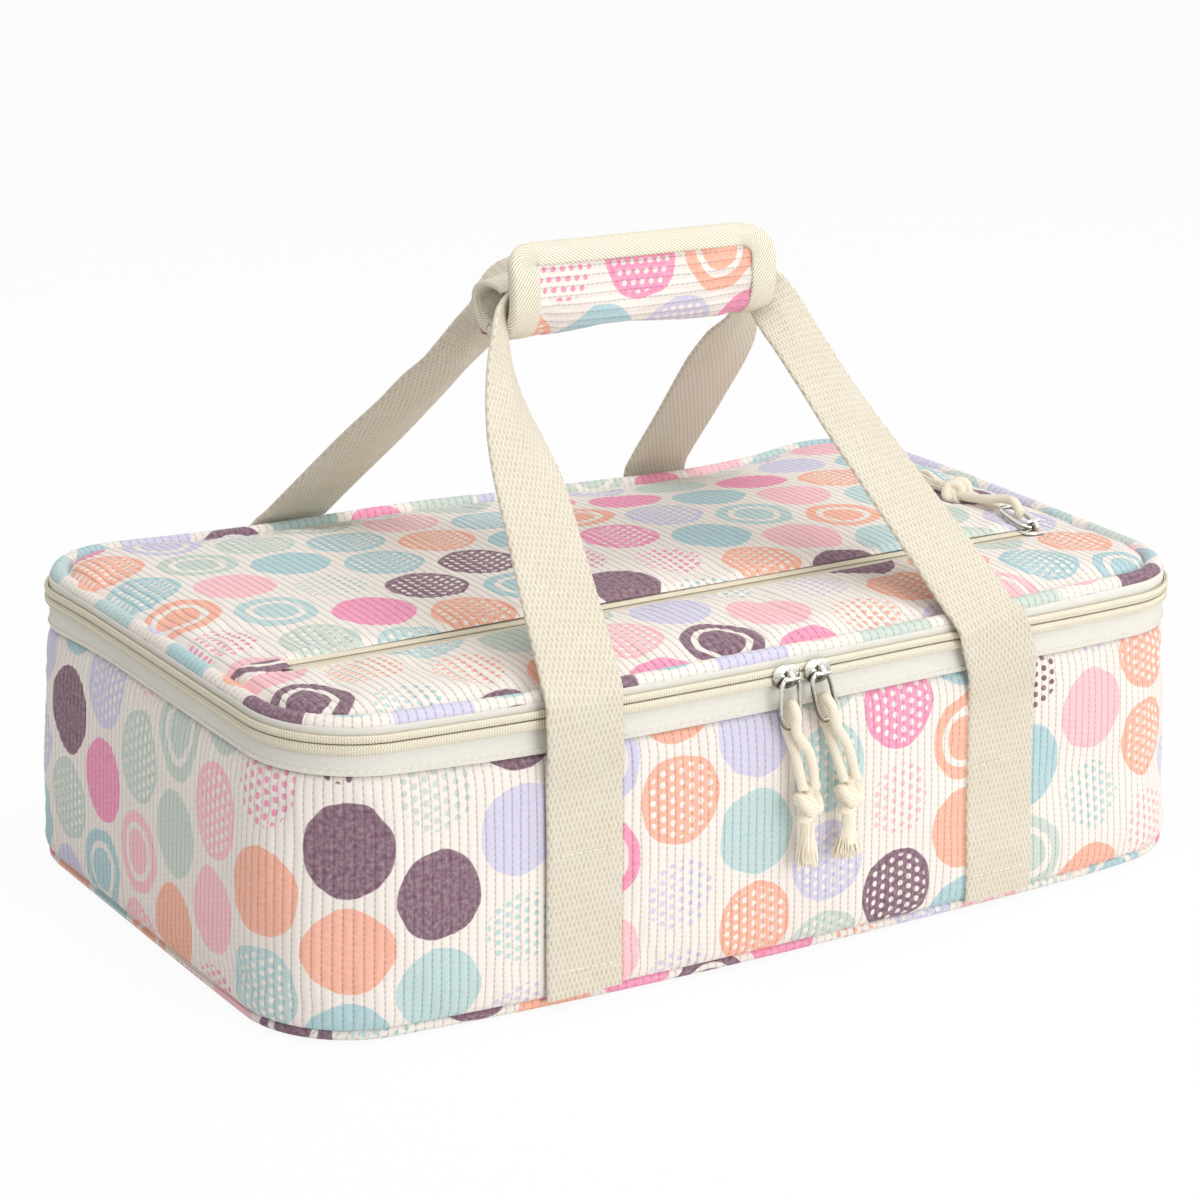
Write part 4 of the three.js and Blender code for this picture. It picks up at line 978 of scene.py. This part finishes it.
whole = np.linspace(0, LOOP, 640, endpoint=False)
zip_s = np.linspace(HINGE_HALF, LOOP - HINGE_HALF, 620)
section = [(2.7, 104.5), (2.6, 107.6), (3.0, 108.9), (4.2, 109.5), (7.6, 109.5), (8.9, 108.8)]
section += [(9.2, 107.6), (9.2, 100.5), (8.75, 100.2), (8.6, 107)]
piece("tub_rim_binding", band(section, whole, True), TWILL, "bag", ["rim_binding"])
section = [(-0.15, 97.1), (-0.35, 97.6), (-0.35, 100), (-0.2, 104), (-0.05, 110.3), (0.25, 110.5)]
section += [(0.7, 110.2), (0.7, 97.4), (0.4, 97.0)]
piece("lower_tape", band(section, zip_s, False), TAPE, "bag", ["lower_zip_tape"])
section = [(0.25, 111.5), (-0.05, 111.7), (-0.1, 116), (0.0, 118.6), (0.3, 119.1), (0.7, 118.7), (0.7, 111.7)]
piece("upper_tape", band(section, zip_s, False), TAPE, "lid", ["upper_zip_tape"])


def coil(z, body, name, node):
    """One half of the zip: a coil of plastic bent over the tape's edge, tooth by tooth."""
    length = zip_s[-1] - zip_s[0]
    count = int(length / 1.05)
    s = zip_s[0] + (np.arange(count * 3) + 0.5) * length / (count * 3)
    wave = np.tile([0.0, 1.0, 0.9], count)[:, None]
    turn = circle(12)[None]
    section_in = np.minimum(-1.2 - 0.95 * np.cos(turn) * (0.7 + 0.3 * wave), -0.25)
    section_z = z + 1.96 * np.sin(turn) * (0.93 + 0.07 * wave)
    P = settle(rim(s[:, None], section_in, section_z))
    parts = [sheet_part(P, grid(s, np.linspace(0, 10, 13)), False, True)]
    piece(name, parts, COIL, body, [node])


coil(109.0, "bag", "lower_coil", "lower_zip_coil")
coil(113.0, "lid", "upper_coil", "upper_zip_coil")

# Hinge cloth at the back, between the ends of the zip.
cols = int(2 * HINGE_HALF / RIB) * 6 + 1
hs = np.linspace(-HINGE_HALF + 0.3, HINGE_HALF - 0.3, cols)
hz = np.array([97.3, 98.5, 101, 104, 107, 110, 112, 114, 116, 118, 119.1])
hin = 0.1 - 0.9 * np.sin(PI * (hz - hz[0]) / (hz[-1] - hz[0]))
P = rim(hs[:, None], hin[None], hz[None])
P[..., 1] += (0.35 * np.sin(PI * np.mod(hs / RIB, 1)) ** 0.6)[:, None]
parts = [sheet_part(settle(P), grid(hs, hz))]
hinge = piece("hinge_cloth", parts, PRINT, None, ["hinge_panel"])
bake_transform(hinge)

# Lid: a padded ridge round the edge, then the two top panels either side of the pocket zip.
ridge = [(1.6, 116.5), (0.75, 117.6), (0.7, 118.8), (0.8, 120.0), (1.5, 121.3), (2.7, 122.2)]
ridge += [(4.1, 122.55), (5.6, 122.2), (6.8, 121.3), (7.5, 120.0), (7.9, 118.6), (8.1, 117.4)]
ridge = np.array(ridge)
P = rim(rib_s[:, None], ridge[None, :, 0], ridge[None, :, 1])
middle = rim(rib_s[:, None], 4.2, 118.5)
P += unit(P - middle) * (0.4 * rib_up[:, None] * ease(117.5, 120, ridge[None, :, 1]))[..., None]
P[..., 2] += 0.35 * np.sin(rib_s / 23)[:, None] * ease(119, 122, ridge[:, 1])[None]
parts = [sheet_part(settle(P), grid(rib_u, travel(ridge) + 121), True)]
obj = piece("lid_ridge", parts, NARROW_PRINT, "lid", ["lid_gusset"])

seam_line, seam_out = outline(np.linspace(0, LOOP, 1600, endpoint=False))
seam_line = seam_line - seam_out * PANEL_IN


def seam_y(x, side):
    """Where the top panel's seam lies at x, towards the front (-1) or the back (1)."""
    part = seam_line[seam_line[:, 1] * side > (60 if side < 0 else 40)]
    part = part[np.argsort(part[:, 0])]
    y = np.interp(x, part[:, 0], part[:, 1])
    radius = CORNER - PANEL_IN
    over = np.clip((np.abs(x) - CX) / radius, 0, 1)
    rounded = (BACK - CORNER if side > 0 else -CY) + side * radius * np.sqrt(1 - over**2)
    return np.where(np.abs(x) > CX + 4, rounded, y)


def seam_distance(x, y):
    """Distance in from the top panel's seam."""
    pts = np.stack([x.ravel(), y.ravel()], 1)
    near = np.empty(len(pts))
    line = seam_line[::2]
    chunk = 4000
    for k in range(0, len(pts), chunk):
        d = pts[k : k + chunk, None] - line[None]
        near[k : k + chunk] = np.sqrt((d**2).sum(-1).min(1))
    return near.reshape(x.shape)


def lid_z(x, y):
    d = seam_distance(x, y)
    z = 118.1 + 4.9 * (1 - np.exp(-d / 3.0)) + 0.9 * (1 - np.exp(-d / 55))
    z += 0.35 * np.sin(x / 31 + 0.5) * np.sin(y / 27 + 1.2) * ease(4, 25, d)
    return z


lid_ribs = int(2 * (HALF - PANEL_IN) / RIB)
lid_x = (rib_steps(lid_ribs) - lid_ribs / 2) * RIB
lid_up = np.tile(RIB_UP * CROWN, lid_ribs)
keep = np.abs(lid_x) < HALF - PANEL_IN - 0.05
lid_x, lid_up = lid_x[keep], lid_up[keep]


def top_panel(name, side, rows, coarse_rows, lip, soft, fall, cap, nodes):
    """side -1 is the strip ahead of the pocket zip, 1 the large panel behind it. lip is where it stops short of
    the zip, soft and fall how its edge there stands up and rolls down, and cap how far it may swell."""
    outer = seam_y(lid_x, side)
    mouth = ease(-184, -178, lid_x) * (1 - ease(172, 178, lid_x))
    inner = POCKET_Y + lip * mouth
    if side > 0:
        inner = np.minimum(inner, outer)
    share = np.linspace(0, 1, rows)
    share = share - 0.08 * np.sin(2 * PI * share)
    y = inner[:, None] + (outer - inner)[:, None] * share[None]
    x = np.repeat(lid_x[:, None], rows, 1)
    from_lip = np.abs(y - inner[:, None])
    roll = mouth[:, None] * np.exp(-((from_lip / 1.6) ** 2))
    z = lid_z(x, y) + soft * mouth[:, None] * np.exp(-((from_lip / 9) ** 2)) - fall * roll
    z += lid_up[:, None] * ease(0.5, 4, seam_distance(x, y)) * (1 - roll)
    P = np.stack([x, y, z], -1)
    cx = np.linspace(lid_x[0], lid_x[-1], 64)
    ci = np.interp(cx, lid_x, inner)
    cy = ci[:, None] + (seam_y(cx, side) - ci)[:, None] * np.linspace(0, 1, coarse_rows)[None]
    flat_x = np.repeat(cx[:, None], coarse_rows, 1)
    rough = np.stack([flat_x, cy, lid_z(flat_x, cy)], -1)
    held = np.zeros(rough.shape[:2])
    held[[0, -1]] = 1
    held[:, [0, -1]] = 1
    move = swell(name + "_swell", rough, held, 2.5, cap, False, side < 0)
    P += spread(move, (lid_x - cx[0]) / (cx[-1] - cx[0]), share)
    parts = [sheet_part(settle(P), np.stack([x, y], -1) + (7.0, 11.0), flip=side < 0)]
    obj = piece(name, parts, PRINT, "lid", nodes)


top_panel("lid_front", -1, 30, 14, -5.0, -0.5, 0.1, 1.8, ["lid_front_panel"])
top_panel("lid_rear", 1, 60, 30, 4.0, 0.9, 0.9, 3.0, ["lid_rear_panel", "lid_foam"])

# Pocket zip: two tape halves in the slit, coils beneath, a sewn tab over the left end.
tx = np.linspace(*POCKET_ENDS, 240)


def pocket_sag(x):
    return np.sin(PI * (x - POCKET_ENDS[0]) / (POCKET_ENDS[1] - POCKET_ENDS[0]))


def pocket_strip(name, y0, y1, z0, z1, node):
    edge = 0.2
    mid = (y0 + y1) / 2
    ys = np.array([y0, y0 + edge, mid, y1 - edge, y1, y1 - edge, mid, y0 + edge])
    zs = np.array([(z0 + z1) / 2, z1, z1 + 0.15, z1, (z0 + z1) / 2, z0, z0, z0])
    z = zs[None] - 0.2 * pocket_sag(tx)[:, None]
    P = np.stack(np.broadcast_arrays(tx[:, None], ys[None], z), -1)
    around = np.array([0, edge, 5, 10 - edge, 10, 10 - edge, 5, edge, 0]) + y0
    piece(name, rod_parts(settle(P), grid(tx, around)), POCKET_TAPE, "lid", [node])


pocket_strip("pocket_rear_tape", -60.7, -50.0, 122.4, 123.1, "pocket_tape_rear")
pocket_strip("pocket_front_tape", -72.0, -61.0, 121.85, 122.55, "pocket_tape_front")
for name, y, node in (
    ("pocket_rear_coil", -59.3, "pocket_coil_rear"),
    ("pocket_front_coil", -62.7, "pocket_coil_front"),
):
    count = int((POCKET_ENDS[1] - POCKET_ENDS[0]) / 1.3)
    x = np.linspace(*POCKET_ENDS, count * 4)
    wave = np.tile([0.0, 0.8, 1.0, 0.8], count)[:, None]
    turn = circle(10)[None]
    coil_y = y + 1.25 * np.cos(turn) * (0.85 + 0.15 * wave)
    coil_z = 121.35 + 0.75 * np.sin(turn) * (0.75 + 0.25 * wave) - 0.5 * pocket_sag(x)[:, None]
    P = np.stack(np.broadcast_arrays(x[:, None], coil_y, coil_z), -1)
    parts = [sheet_part(settle(P), grid(x, np.linspace(0, 8, 11)), False, True)]
    piece(name, parts, COIL, "lid", [node])

TAB_HALF = 5.6
ty = np.linspace(-TAB_HALF, TAB_HALF, 26)
tab_x = np.array([-198.2, -197.6, -195, -191, -187, -183, -179.5, -177.6, -177.0, -177.2])
x, y = np.meshgrid(tab_x, POCKET_Y + ty, indexing="ij")
top = lid_z(x, y) + 1.2
top -= np.array([1.4, 0.5, 0, 0, 0, 0, 0, 0.15, 0.7, 1.4])[:, None]
top -= 0.9 * (np.abs(ty / TAB_HALF) ** 8)[None]
top += 0.3 * np.abs(np.sin(PI * ty / RIB))[None] ** 0.6
parts = [sheet_part(settle(np.stack([x, y, top], -1)), grid(tab_x, ty)[..., ::-1] + 40)]
piece("pocket_tab", parts, PRINT, "lid", ["pocket_end_tab"])


# Underside of the lid: lining, its binding, and the pocket's own lining sheet.
def plate(name, inset, z, node, lift, uv_shift):
    edge = rim(np.linspace(0, LOOP, 420, endpoint=False), inset, z)
    P = np.stack([edge * (k, k, 1) + (0, 0, lift * (1 - k)) for k in (1, 0.94, 0.85, 0.7, 0.5, 0.3, 0.1)], 1)
    P[..., 2] += 0.25 * np.sin(P[..., 0] / 21) * np.sin(P[..., 1] / 17 + 1)
    P = settle(P)
    uv = np.concatenate([P[..., :2], P[:1, :, :2]], 0) + uv_shift
    return piece(name, [sheet_part(P, uv, True), fan_part(P[:, -1])], LINING, "lid", [node])


under = plate("lid_inner", 2.8, 112.0, "lid_lining", 0.6, 0)
inner = plate("pocket_sheet", 9.5, 117.2, "pocket_lining", 0.2, 31)
section = [(2.5, 112.2), (2.6, 111.7), (4.0, 111.5), (7.4, 111.6), (7.8, 112.0), (7.6, 112.6), (5, 114.6), (2.7, 114.8)]
piece("lid_inner_binding", band(section, whole, True), TWILL, "lid", ["lid_binding"])


# Straps: flat cotton webbing, sewn on the wall, bunched where they pass through the grip.
def strap_parts(stations, side):
    """Rows of x, y, z, turn in degrees, width and lengthwise fold. The turn tips the strap's right edge out
    from the leg."""
    run = spline(stations, 0.62)
    path, cup = run[:, :3], run[:, 5]
    turn = np.radians(run[:, 3])
    lean = np.array([0, side * 0.69, 0.72])
    left_right = np.cos(turn)[:, None] * (1, 0, 0) + np.sin(turn)[:, None] * lean
    along = unit(np.gradient(path, axis=0))
    aside = unit(left_right - along * (left_right * along).sum(1, keepdims=True))
    out = np.cross(aside, along)
    far = travel(path)
    half = run[:, 4] / 2 + 0.16 * np.sin(2 * PI * far / 1.85)
    # The strap's section: a across, from edge to edge and back, and b out from its middle.
    face = np.linspace(-0.85, 0.85, 9)
    a = np.concatenate([[-1, -0.985, -0.95], face, [0.95, 0.985, 1, 0.985, 0.95], face[::-1], [-0.95, -0.985]])
    rise, flat = [0, 0.62, 0.95], [1.0] * 9
    upper = rise + flat + rise[::-1]
    b = np.array(upper + [-h for h in upper[1:-1]])
    fold = (1.005 - np.sqrt(a**2 + 0.01)) / 0.905
    P = path[:, None] + a[None, :, None] * half[:, None, None] * aside[:, None]
    P = P + (b[None, :, None] + cup[:, None, None] * fold[None, :, None]) * out[:, None]
    uv = np.stack(np.broadcast_arrays(16 + 16 * np.append(a, a[0])[None], far[:, None]), -1)
    return rod_parts(P, uv)


def on_wall(x, z, side, proud=1.3):
    """A place on the outside of the wall, with the slump that the wall has there."""
    y = (ARC_C - math.sqrt(ARC_R**2 - x * x)) if side < 0 else BACK
    return settle(np.array([[x, y + side * (float(flare(min(z, WALL_TOP)) + bulge(z)) + proud), z]]))[0]


def plain(*places):
    return [(*place, 0, STRAP_WIDE, 0) for place in places]


def strap_web(name, side, left, right, middle):
    """A strap from its left foot up, through the grip and down to its right foot."""
    sewn = [plain(*(on_wall(hand * STRAP_X, z, side) for z in (5.2, 20, 40, 62, 74, 84))) for hand in (-1, 1)]
    # Its own left and right keep their sense on the way down, so the turn runs on past the grip.
    down = [(*row[:3], row[3] - 180, *row[4:]) for row in (sewn[1] + right)[::-1]]
    parts = strap_parts(sewn[0] + left + middle + down, side)
    nodes = [f"{name}_left_sewn", f"{name}_right_sewn", f"{name}_loop"]
    return piece(f"{name}_web", parts, WEBBING, None, nodes)


def front_y(z):
    return -139.9 + (z - 119.5) * 1.115


def rear_y(z):
    return 119.5 - (z - 119) * 1.027


front_left = plain(
    (-95.3, -138.3, 93), (-96, -139.9, 100), (-96.6, -140.6, 107), (-97, -140.7, 113.5), (-96.6, -139.6, 119.5)
) + [
    (-94.6, front_y(126), 126.5, 0, 32, 0.2),
    (-89.2, front_y(145), 145, -2, 32, 0.4),
    (-83.6, front_y(165), 165, -7, 32, 0.6),
    (-78.9, front_y(182), 182, -11, 32, 1.0),
    (-76.3, front_y(193), 193, -20, 31, 1.6),
    (-72.6, front_y(206), 206, -32, 26, 2.4),
    (-66.2, front_y(220), 220, -48, 20, 2.6),
    (-59.2, -16.5, 232, -68, 18, 2.0),
]
front_right = plain(
    (94.2, -138.4, 93), (92.6, -139.9, 100), (90.3, -140.6, 107), (87.8, -140.7, 113.5), (85.6, -139.6, 119.5)
) + [
    (83.2, front_y(127), 127.5, 0, 32, 0.2),
    (79.8, front_y(143.5), 143.5, -2, 32, 0.4),
    (76.3, front_y(157), 157, -5, 32, 0.6),
    (72.6, front_y(172), 172, -8, 32, 0.8),
    (69.3, front_y(185), 185, -9, 31, 1.0),
    (66.2, front_y(200), 200, -7, 28, 1.4),
    (63.4, front_y(216), 216, 10, 23, 2.0),
    (59.5, -18.0, 230, 50, 19, 2.0),
]
through = [(-46, -14, 239.5, -88, 21, 1.5), (0, -13.5, 239, -90, 20, 1.0), (46, -14, 238.4, -90, 20, 1.5)]
strap = strap_web("front_strap", -1, front_left, front_right, through)
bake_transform(strap)
rear_left = plain(
    (-93.6, 121.5, 93), (-91.0, 120.6, 101), (-89.4, 122.2, 107), (-87.3, 121.8, 113.5), (-85.2, 119.0, 119.4)
) + [
    (-82.4, rear_y(126), 126.5, 0, 32, 0.2),
    (-76.6, rear_y(144.5), 144.5, 0, 32, 0.4),
    (-68.4, rear_y(167), 167, 0, 32, 2.4),
    (-62.2, rear_y(184), 184, 3, 31.5, 4.8),
    (-58.2, rear_y(198), 198, 3, 30.5, 6.4),
    (-56.6, 21.5, 210.5, 0, 27, 6.2),
    (-57.8, 10.0, 219.5, -22, 18, 3.4),
    (-57.5, 1.5, 227.5, -62, 14, 2.0),
]
rear_right = plain(
    (95.6, 121.5, 93), (97.0, 120.6, 101), (98.8, 122.2, 107), (99.6, 121.8, 113.5), (98.9, 119.0, 119.4)
) + [
    (97.6, rear_y(126), 126.5, 0, 32, 0.2),
    (92.5, rear_y(154), 154, 0, 32, 0.6),
    (84.8, rear_y(190), 190, 2, 31, 2.0),
    (79.0, rear_y(204), 204, 14, 27, 2.8),
    (71.5, 15.0, 219, 40, 24, 2.8),
    (62.0, 4.0, 231, 66, 21, 2.0),
]
through = [(-46, 0, 239, -88, 21, 1.5), (0, -0.5, 238.6, -90, 20, 1.0), (46, 0, 238, -90, 20, 1.5)]
strap = strap_web("rear_strap", 1, rear_left, rear_right, through)
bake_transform(strap)

# Grip: a padded wrap. Its back half lies round the straps, its front flap closes over the top with a bound edge.
GRIP = np.array([0.0, -6.0, 239.0])
TIP = math.asin(1.5 / 120)
GRIP_HALF = 60.0


def to_grip(P):
    c, s = math.cos(TIP), math.sin(TIP)
    x, y, z = P[..., 0], P[..., 1], P[..., 2]
    return np.stack([x * c + z * s, y, -x * s + z * c], -1) + GRIP


class Section:
    """A pad seen from its end: a line from its free edge to its foot, in y and z.

    left and right are the radii of its corners at the free edge."""

    def __init__(self, points, outward, droop, left, right):
        self.line = spline([(y, z, 0) for y, z in points], 0.25)[:, :2]
        self.far = travel(self.line)
        self.total = self.far[-1]
        along = unit(np.gradient(self.line, axis=0))
        self.along = along[0]
        self.out = np.stack([along[:, 1], -along[:, 0]], 1) * outward
        self.droop = droop
        self.left, self.right = left, right

    def shape(self, x, t, off):
        """A place on the pad: x along the grip, t down from the free edge, off out from the face."""
        x, t, off = np.broadcast_arrays(x, t, off)
        y, z = (
            np.interp(t, self.far, self.line[:, k]) + off * np.interp(t, self.far, self.out[:, k]) for k in (0, 1)
        )
        spare = np.minimum(t, 0)
        y, z = y + spare * self.along[0], z + spare * self.along[1]
        low = 1 - self.droop * ease(28, 60, np.abs(x))
        return np.stack([x, y, np.where(z > -7, -7 + (z + 7) * low, z)], -1)

    def across(self, t, share):
        """x at shares of the pad's length, at distances from its free edge, between its rounded corners."""
        ends = []
        for r in (self.left, self.right):
            d = np.clip(r - t, 0, r)
            ends.append(r - np.sqrt(np.maximum(r * r - d * d, 0)))
        x0, x1 = -GRIP_HALF + ends[0], GRIP_HALF - ends[1]
        return x0[:, None] + (x1 - x0)[:, None] * share[None]


flap_line = [(-12.0, 19.0), (-16.8, 16.2), (-20.0, 10), (-21.4, 1.5), (-21.2, -6.5), (-18.6, -13)]
flap_line += [(-13, -17), (-6, -18.2), (4.5, -18.4)]
back_line = [(-15.5, 7.5), (-11, 11.3), (-4.5, 13), (2, 12.2), (8, 8), (11, 1.5), (11.2, -6)]
back_line += [(8.5, -12.5), (3.5, -16.6), (-3, -17.4)]
FLAP = Section(flap_line, 1, 0.0, 11.4, 16.0)
BACK_PAD = Section(back_line, -1, 0.5, 3.0, 3.0)


def pad(name, section, body, node):
    total = section.total
    ribs = int(total / RIB)
    t = np.append(rib_steps(ribs) * total / ribs, total)
    up = np.append(np.tile(0.34 * CROWN, ribs), 0) * ease(0, 3, t)
    share = np.linspace(0, 1, 60)
    x = section.across(t, share)
    ct = np.linspace(0, total, 26)
    rough = section.shape(section.across(ct, np.linspace(0, 1, 34)), ct[:, None], -0.8)
    held = np.zeros(rough.shape[:2])
    held[:3] = held[-1] = 1
    held[:, :3] = held[:, -3:] = 1
    move = swell(name + "_swell", rough, held, 1.5, 1.5, False, True)
    outer = section.shape(x, t[:, None], -0.4 + up[:, None]) + spread(move, t / total, share)
    inner = section.shape(x, t[:, None], -4.2)
    P = np.concatenate([outer, inner[::-1]], 0)
    flat = np.concatenate([t, 2 * total - t[::-1], [2 * total]]) + 5
    uv = np.stack([np.repeat(flat[:, None], 60, 1), np.concatenate([x, x[::-1], x[:1]], 0) + 20], -1)
    parts = [sheet_part(to_grip(P), uv, True, False, True)]
    obj = piece(name, parts, PRINT, body, [node])
    return obj


def binding(name, section, width, whole_edge, body, replaced, foot):
    """Twill tape folded over the pad's edge: down both ends, and along the free edge if that is bound too."""
    n = 60
    rl, rr, low = section.left, section.right, section.total - foot
    corner = np.linspace(0, PI / 2, 14)[1:-1]
    left = [(-GRIP_HALF, t) for t in np.linspace(low, rl, n)]
    right = [(GRIP_HALF, t) for t in np.linspace(rr, low, n)]
    bend_l = [(-GRIP_HALF + rl * (1 - math.cos(a)), rl * (1 - math.sin(a))) for a in corner]
    bend_r = [(GRIP_HALF - rr * (1 - math.sin(a)), rr * (1 - math.cos(a))) for a in corner]
    top = [(x, 0) for x in np.linspace(-GRIP_HALF + rl, GRIP_HALF - rr, n)]
    runs = [left + bend_l + top + bend_r + right] if whole_edge else [left, right]
    # The tape's section: in from the edge and out from the face, over the front, round the edge, along the back.
    profile = [(width, -0.3), (width - 0.1, 0.35), (width - 0.8, 0.62), (width * 0.6, 0.75), (width * 0.3, 0.75)]
    profile += [(1.0, 0.6), (0.1, 0.1), (-0.5, -1.2), (-0.5, -3.0), (0.2, -4.3), (1.5, -4.8)]
    profile = np.array(profile + [(width * 0.5, -4.9), (width, -4.7), (3, -3.0)])
    round_it = travel(np.vstack([profile, profile[:1]]))
    parts = []
    for route in runs:
        q = np.array(route, float)
        d = unit(np.gradient(q, axis=0))
        inward = np.stack([-d[:, 1], d[:, 0]], 1)
        if not whole_edge:
            inward = np.where(q[:, :1] < 0, 1.0, -1.0) * np.array([[1.0, 0.0]])
        elif inward[len(q) // 2, 1] < 0:
            inward = -inward
        pts = q[:, None] + inward[:, None] * profile[None, :, :1]
        world = to_grip(section.shape(pts[..., 0], pts[..., 1], profile[None, :, 1]))
        parts += rod_parts(world, np.stack(np.broadcast_arrays(round_it[None], travel(q)[:, None]), -1))
    return piece(name, parts, TWILL, body, replaced)


flap = pad("grip_flap", FLAP, None, "wrap_flap")
pad("grip_back", BACK_PAD, "rear_strap", "wrap_back")
edge = binding("grip_flap_binding", FLAP, 11.3, True, None, ["flap_binding"], 6.0)
for obj in (flap, edge):
    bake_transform(obj)
ends = ["wrap_binding_left", "wrap_binding_right"]
binding("grip_back_binding", BACK_PAD, 9.5, False, "rear_strap", ends, 2.0)


def fastener(name, section, t0, t1, off, inward, body, node):
    """Hook or loop strip under the flap's edge, with rows of little loops. inward 1 faces the straps, -1 out."""
    t = np.linspace(t0, t1, 22)[None]
    x = np.linspace(-47, 47, 120)
    nap = 0.18 * np.abs(np.sin(x[:, None] * 2.1)) * np.abs(np.sin(t * 2.3))
    face = section.shape(x[:, None], t, off - inward * nap)
    base = section.shape(x[:, None], t, off + inward * 0.5)
    P = np.concatenate([face, base[:, ::-1]], 1)
    uv = np.stack(np.meshgrid(np.arange(45.0), x, indexing="xy"), -1)
    piece(name, [sheet_part(to_grip(P), uv, False, True)], TWILL, body, [node])


fastener("grip_hooks", FLAP, 5.0, 13.5, -4.6, 1, "wrap_front", "hook_strip")
fastener("grip_loops", BACK_PAD, 1.0, 9.5, 0.2, -1, "rear_strap", "loop_strip")

# Stitches: short raised threads in rows.
STITCH, STITCH_PITCH, STITCH_END = 2.3, 3.3, 1.2


def stitches(name, rows, body):
    """Each row is (points, outward directions)."""
    parts = []
    for points, outs in rows:
        far = travel(points)
        for at in np.arange(STITCH_END, far[-1] - STITCH_END, STITCH_PITCH):
            stops = (at - STITCH / 2, at, at + STITCH / 2)
            a, b, c = (np.array([np.interp(stop, far, column) for column in points.T]) for stop in stops)
            o = np.array([np.interp(at, far, column) for column in outs.T])
            way = [a - 0.05 * o, a * 0.6 + b * 0.4 + 0.25 * o, b * 0.4 + c * 0.6 + 0.25 * o, c - 0.05 * o]
            parts += tube(way, [0.2, 0.34, 0.34, 0.2], 6)
    piece(name, parts, THREAD, body)


strap_rows = []
for side in (-1, 1):
    for x in (-STRAP_X, STRAP_X):
        for z in (15.5, 60.5):
            line = np.array([on_wall(x + d, z, side, 2.35) for d in np.linspace(-14, 14, 15)])
            strap_rows.append((line, np.tile([0, side, 0.0], (15, 1))))
stitches("strap_stitches", strap_rows, "bag")
line = np.linspace(HINGE_HALF + 2, LOOP - HINGE_HALF - 2, 800)
_, n = outline(line)
row = (settle(rim(line, -0.4, 99.0)), np.concatenate([n, np.zeros((800, 1))], 1))
stitches("lower_tape_stitches", [row], "bag")


# Floor, light and background.
def white_to_the_eye(tree, share, glow, plain_socket, end):
    """White by that share for the camera and in reflections, the plain shader for all other light."""
    ray, seen, part, mixer = (
        tree.nodes.new("ShaderNode" + kind) for kind in ("LightPath", "Math", "Math", "MixShader")
    )
    seen.operation, part.operation = "MAXIMUM", "MULTIPLY"
    part.inputs[1].default_value = share
    glow = tree.nodes.new("ShaderNode" + glow)
    glow.inputs["Color"].default_value = (1, 1, 1, 1)
    for out, into in (
        (ray.outputs["Is Camera Ray"], seen.inputs[0]),
        (ray.outputs["Is Glossy Ray"], seen.inputs[1]),
        (seen.outputs[0], part.inputs[0]),
        (part.outputs[0], mixer.inputs[0]),
        (plain_socket, mixer.inputs[1]),
        (glow.outputs[0], mixer.inputs[2]),
        (mixer.outputs[0], end),
    ):
        tree.links.new(out, into)


FLOOR_HALF, FLOOR_Z = 6.0, -0.0004
corners = [(x * FLOOR_HALF, y * FLOOR_HALF, FLOOR_Z) for x, y in ((-1, -1), (1, -1), (1, 1), (-1, 1))]
floor_mesh = bpy.data.meshes.new("floor")
floor_mesh.from_pydata(corners, [], [(0, 1, 2, 3)])
floor = bpy.data.objects.new("floor", floor_mesh)
scene.collection.objects.link(floor)
k = Nodes("floor")
k.finish((0.9, 0.9, 0.9, 1.0), 0.9, Specular_IOR_Level=0.1)
white_to_the_eye(k.tree, 0.93, "Emission", k.shader.outputs[0], k.end.inputs[0])
floor_mesh.materials.append(k.material)

world = bpy.data.worlds.new("studio")
scene.world = world
world.use_nodes = True
tree = world.node_tree
tree.nodes.clear()
output = tree.nodes.new("ShaderNodeOutputWorld")
soft = tree.nodes.new("ShaderNodeBackground")
soft.inputs["Color"].default_value = (1.0, 0.99, 0.98, 1)
soft.inputs["Strength"].default_value = 0.48
white_to_the_eye(tree, 1.0, "Background", soft.outputs[0], output.inputs[0])
LAMP_AIM = (0, 0, 0.1)


def softbox(name, place, size, power):
    lamp = bpy.data.lights.new(name, "AREA")
    lamp.shape = "RECTANGLE"
    lamp.size, lamp.size_y = size
    lamp.energy = power
    obj = bpy.data.objects.new(name, lamp)
    z = unit(np.array(place) - LAMP_AIM)
    x = unit(np.cross([0, 0, 1], z))
    obj.matrix_world = placed([x, np.cross(z, x), z], place)
    scene.collection.objects.link(obj)


softbox("key", (0.4, -2.1, 0.8), (1.3, 1.1), 19)
softbox("fill", (1.7, -0.8, 0.9), (1.4, 1.4), 4)
softbox("top", (0.0, -0.3, 2.0), (1.8, 1.4), 21)
scene.view_settings.view_transform = "Standard"
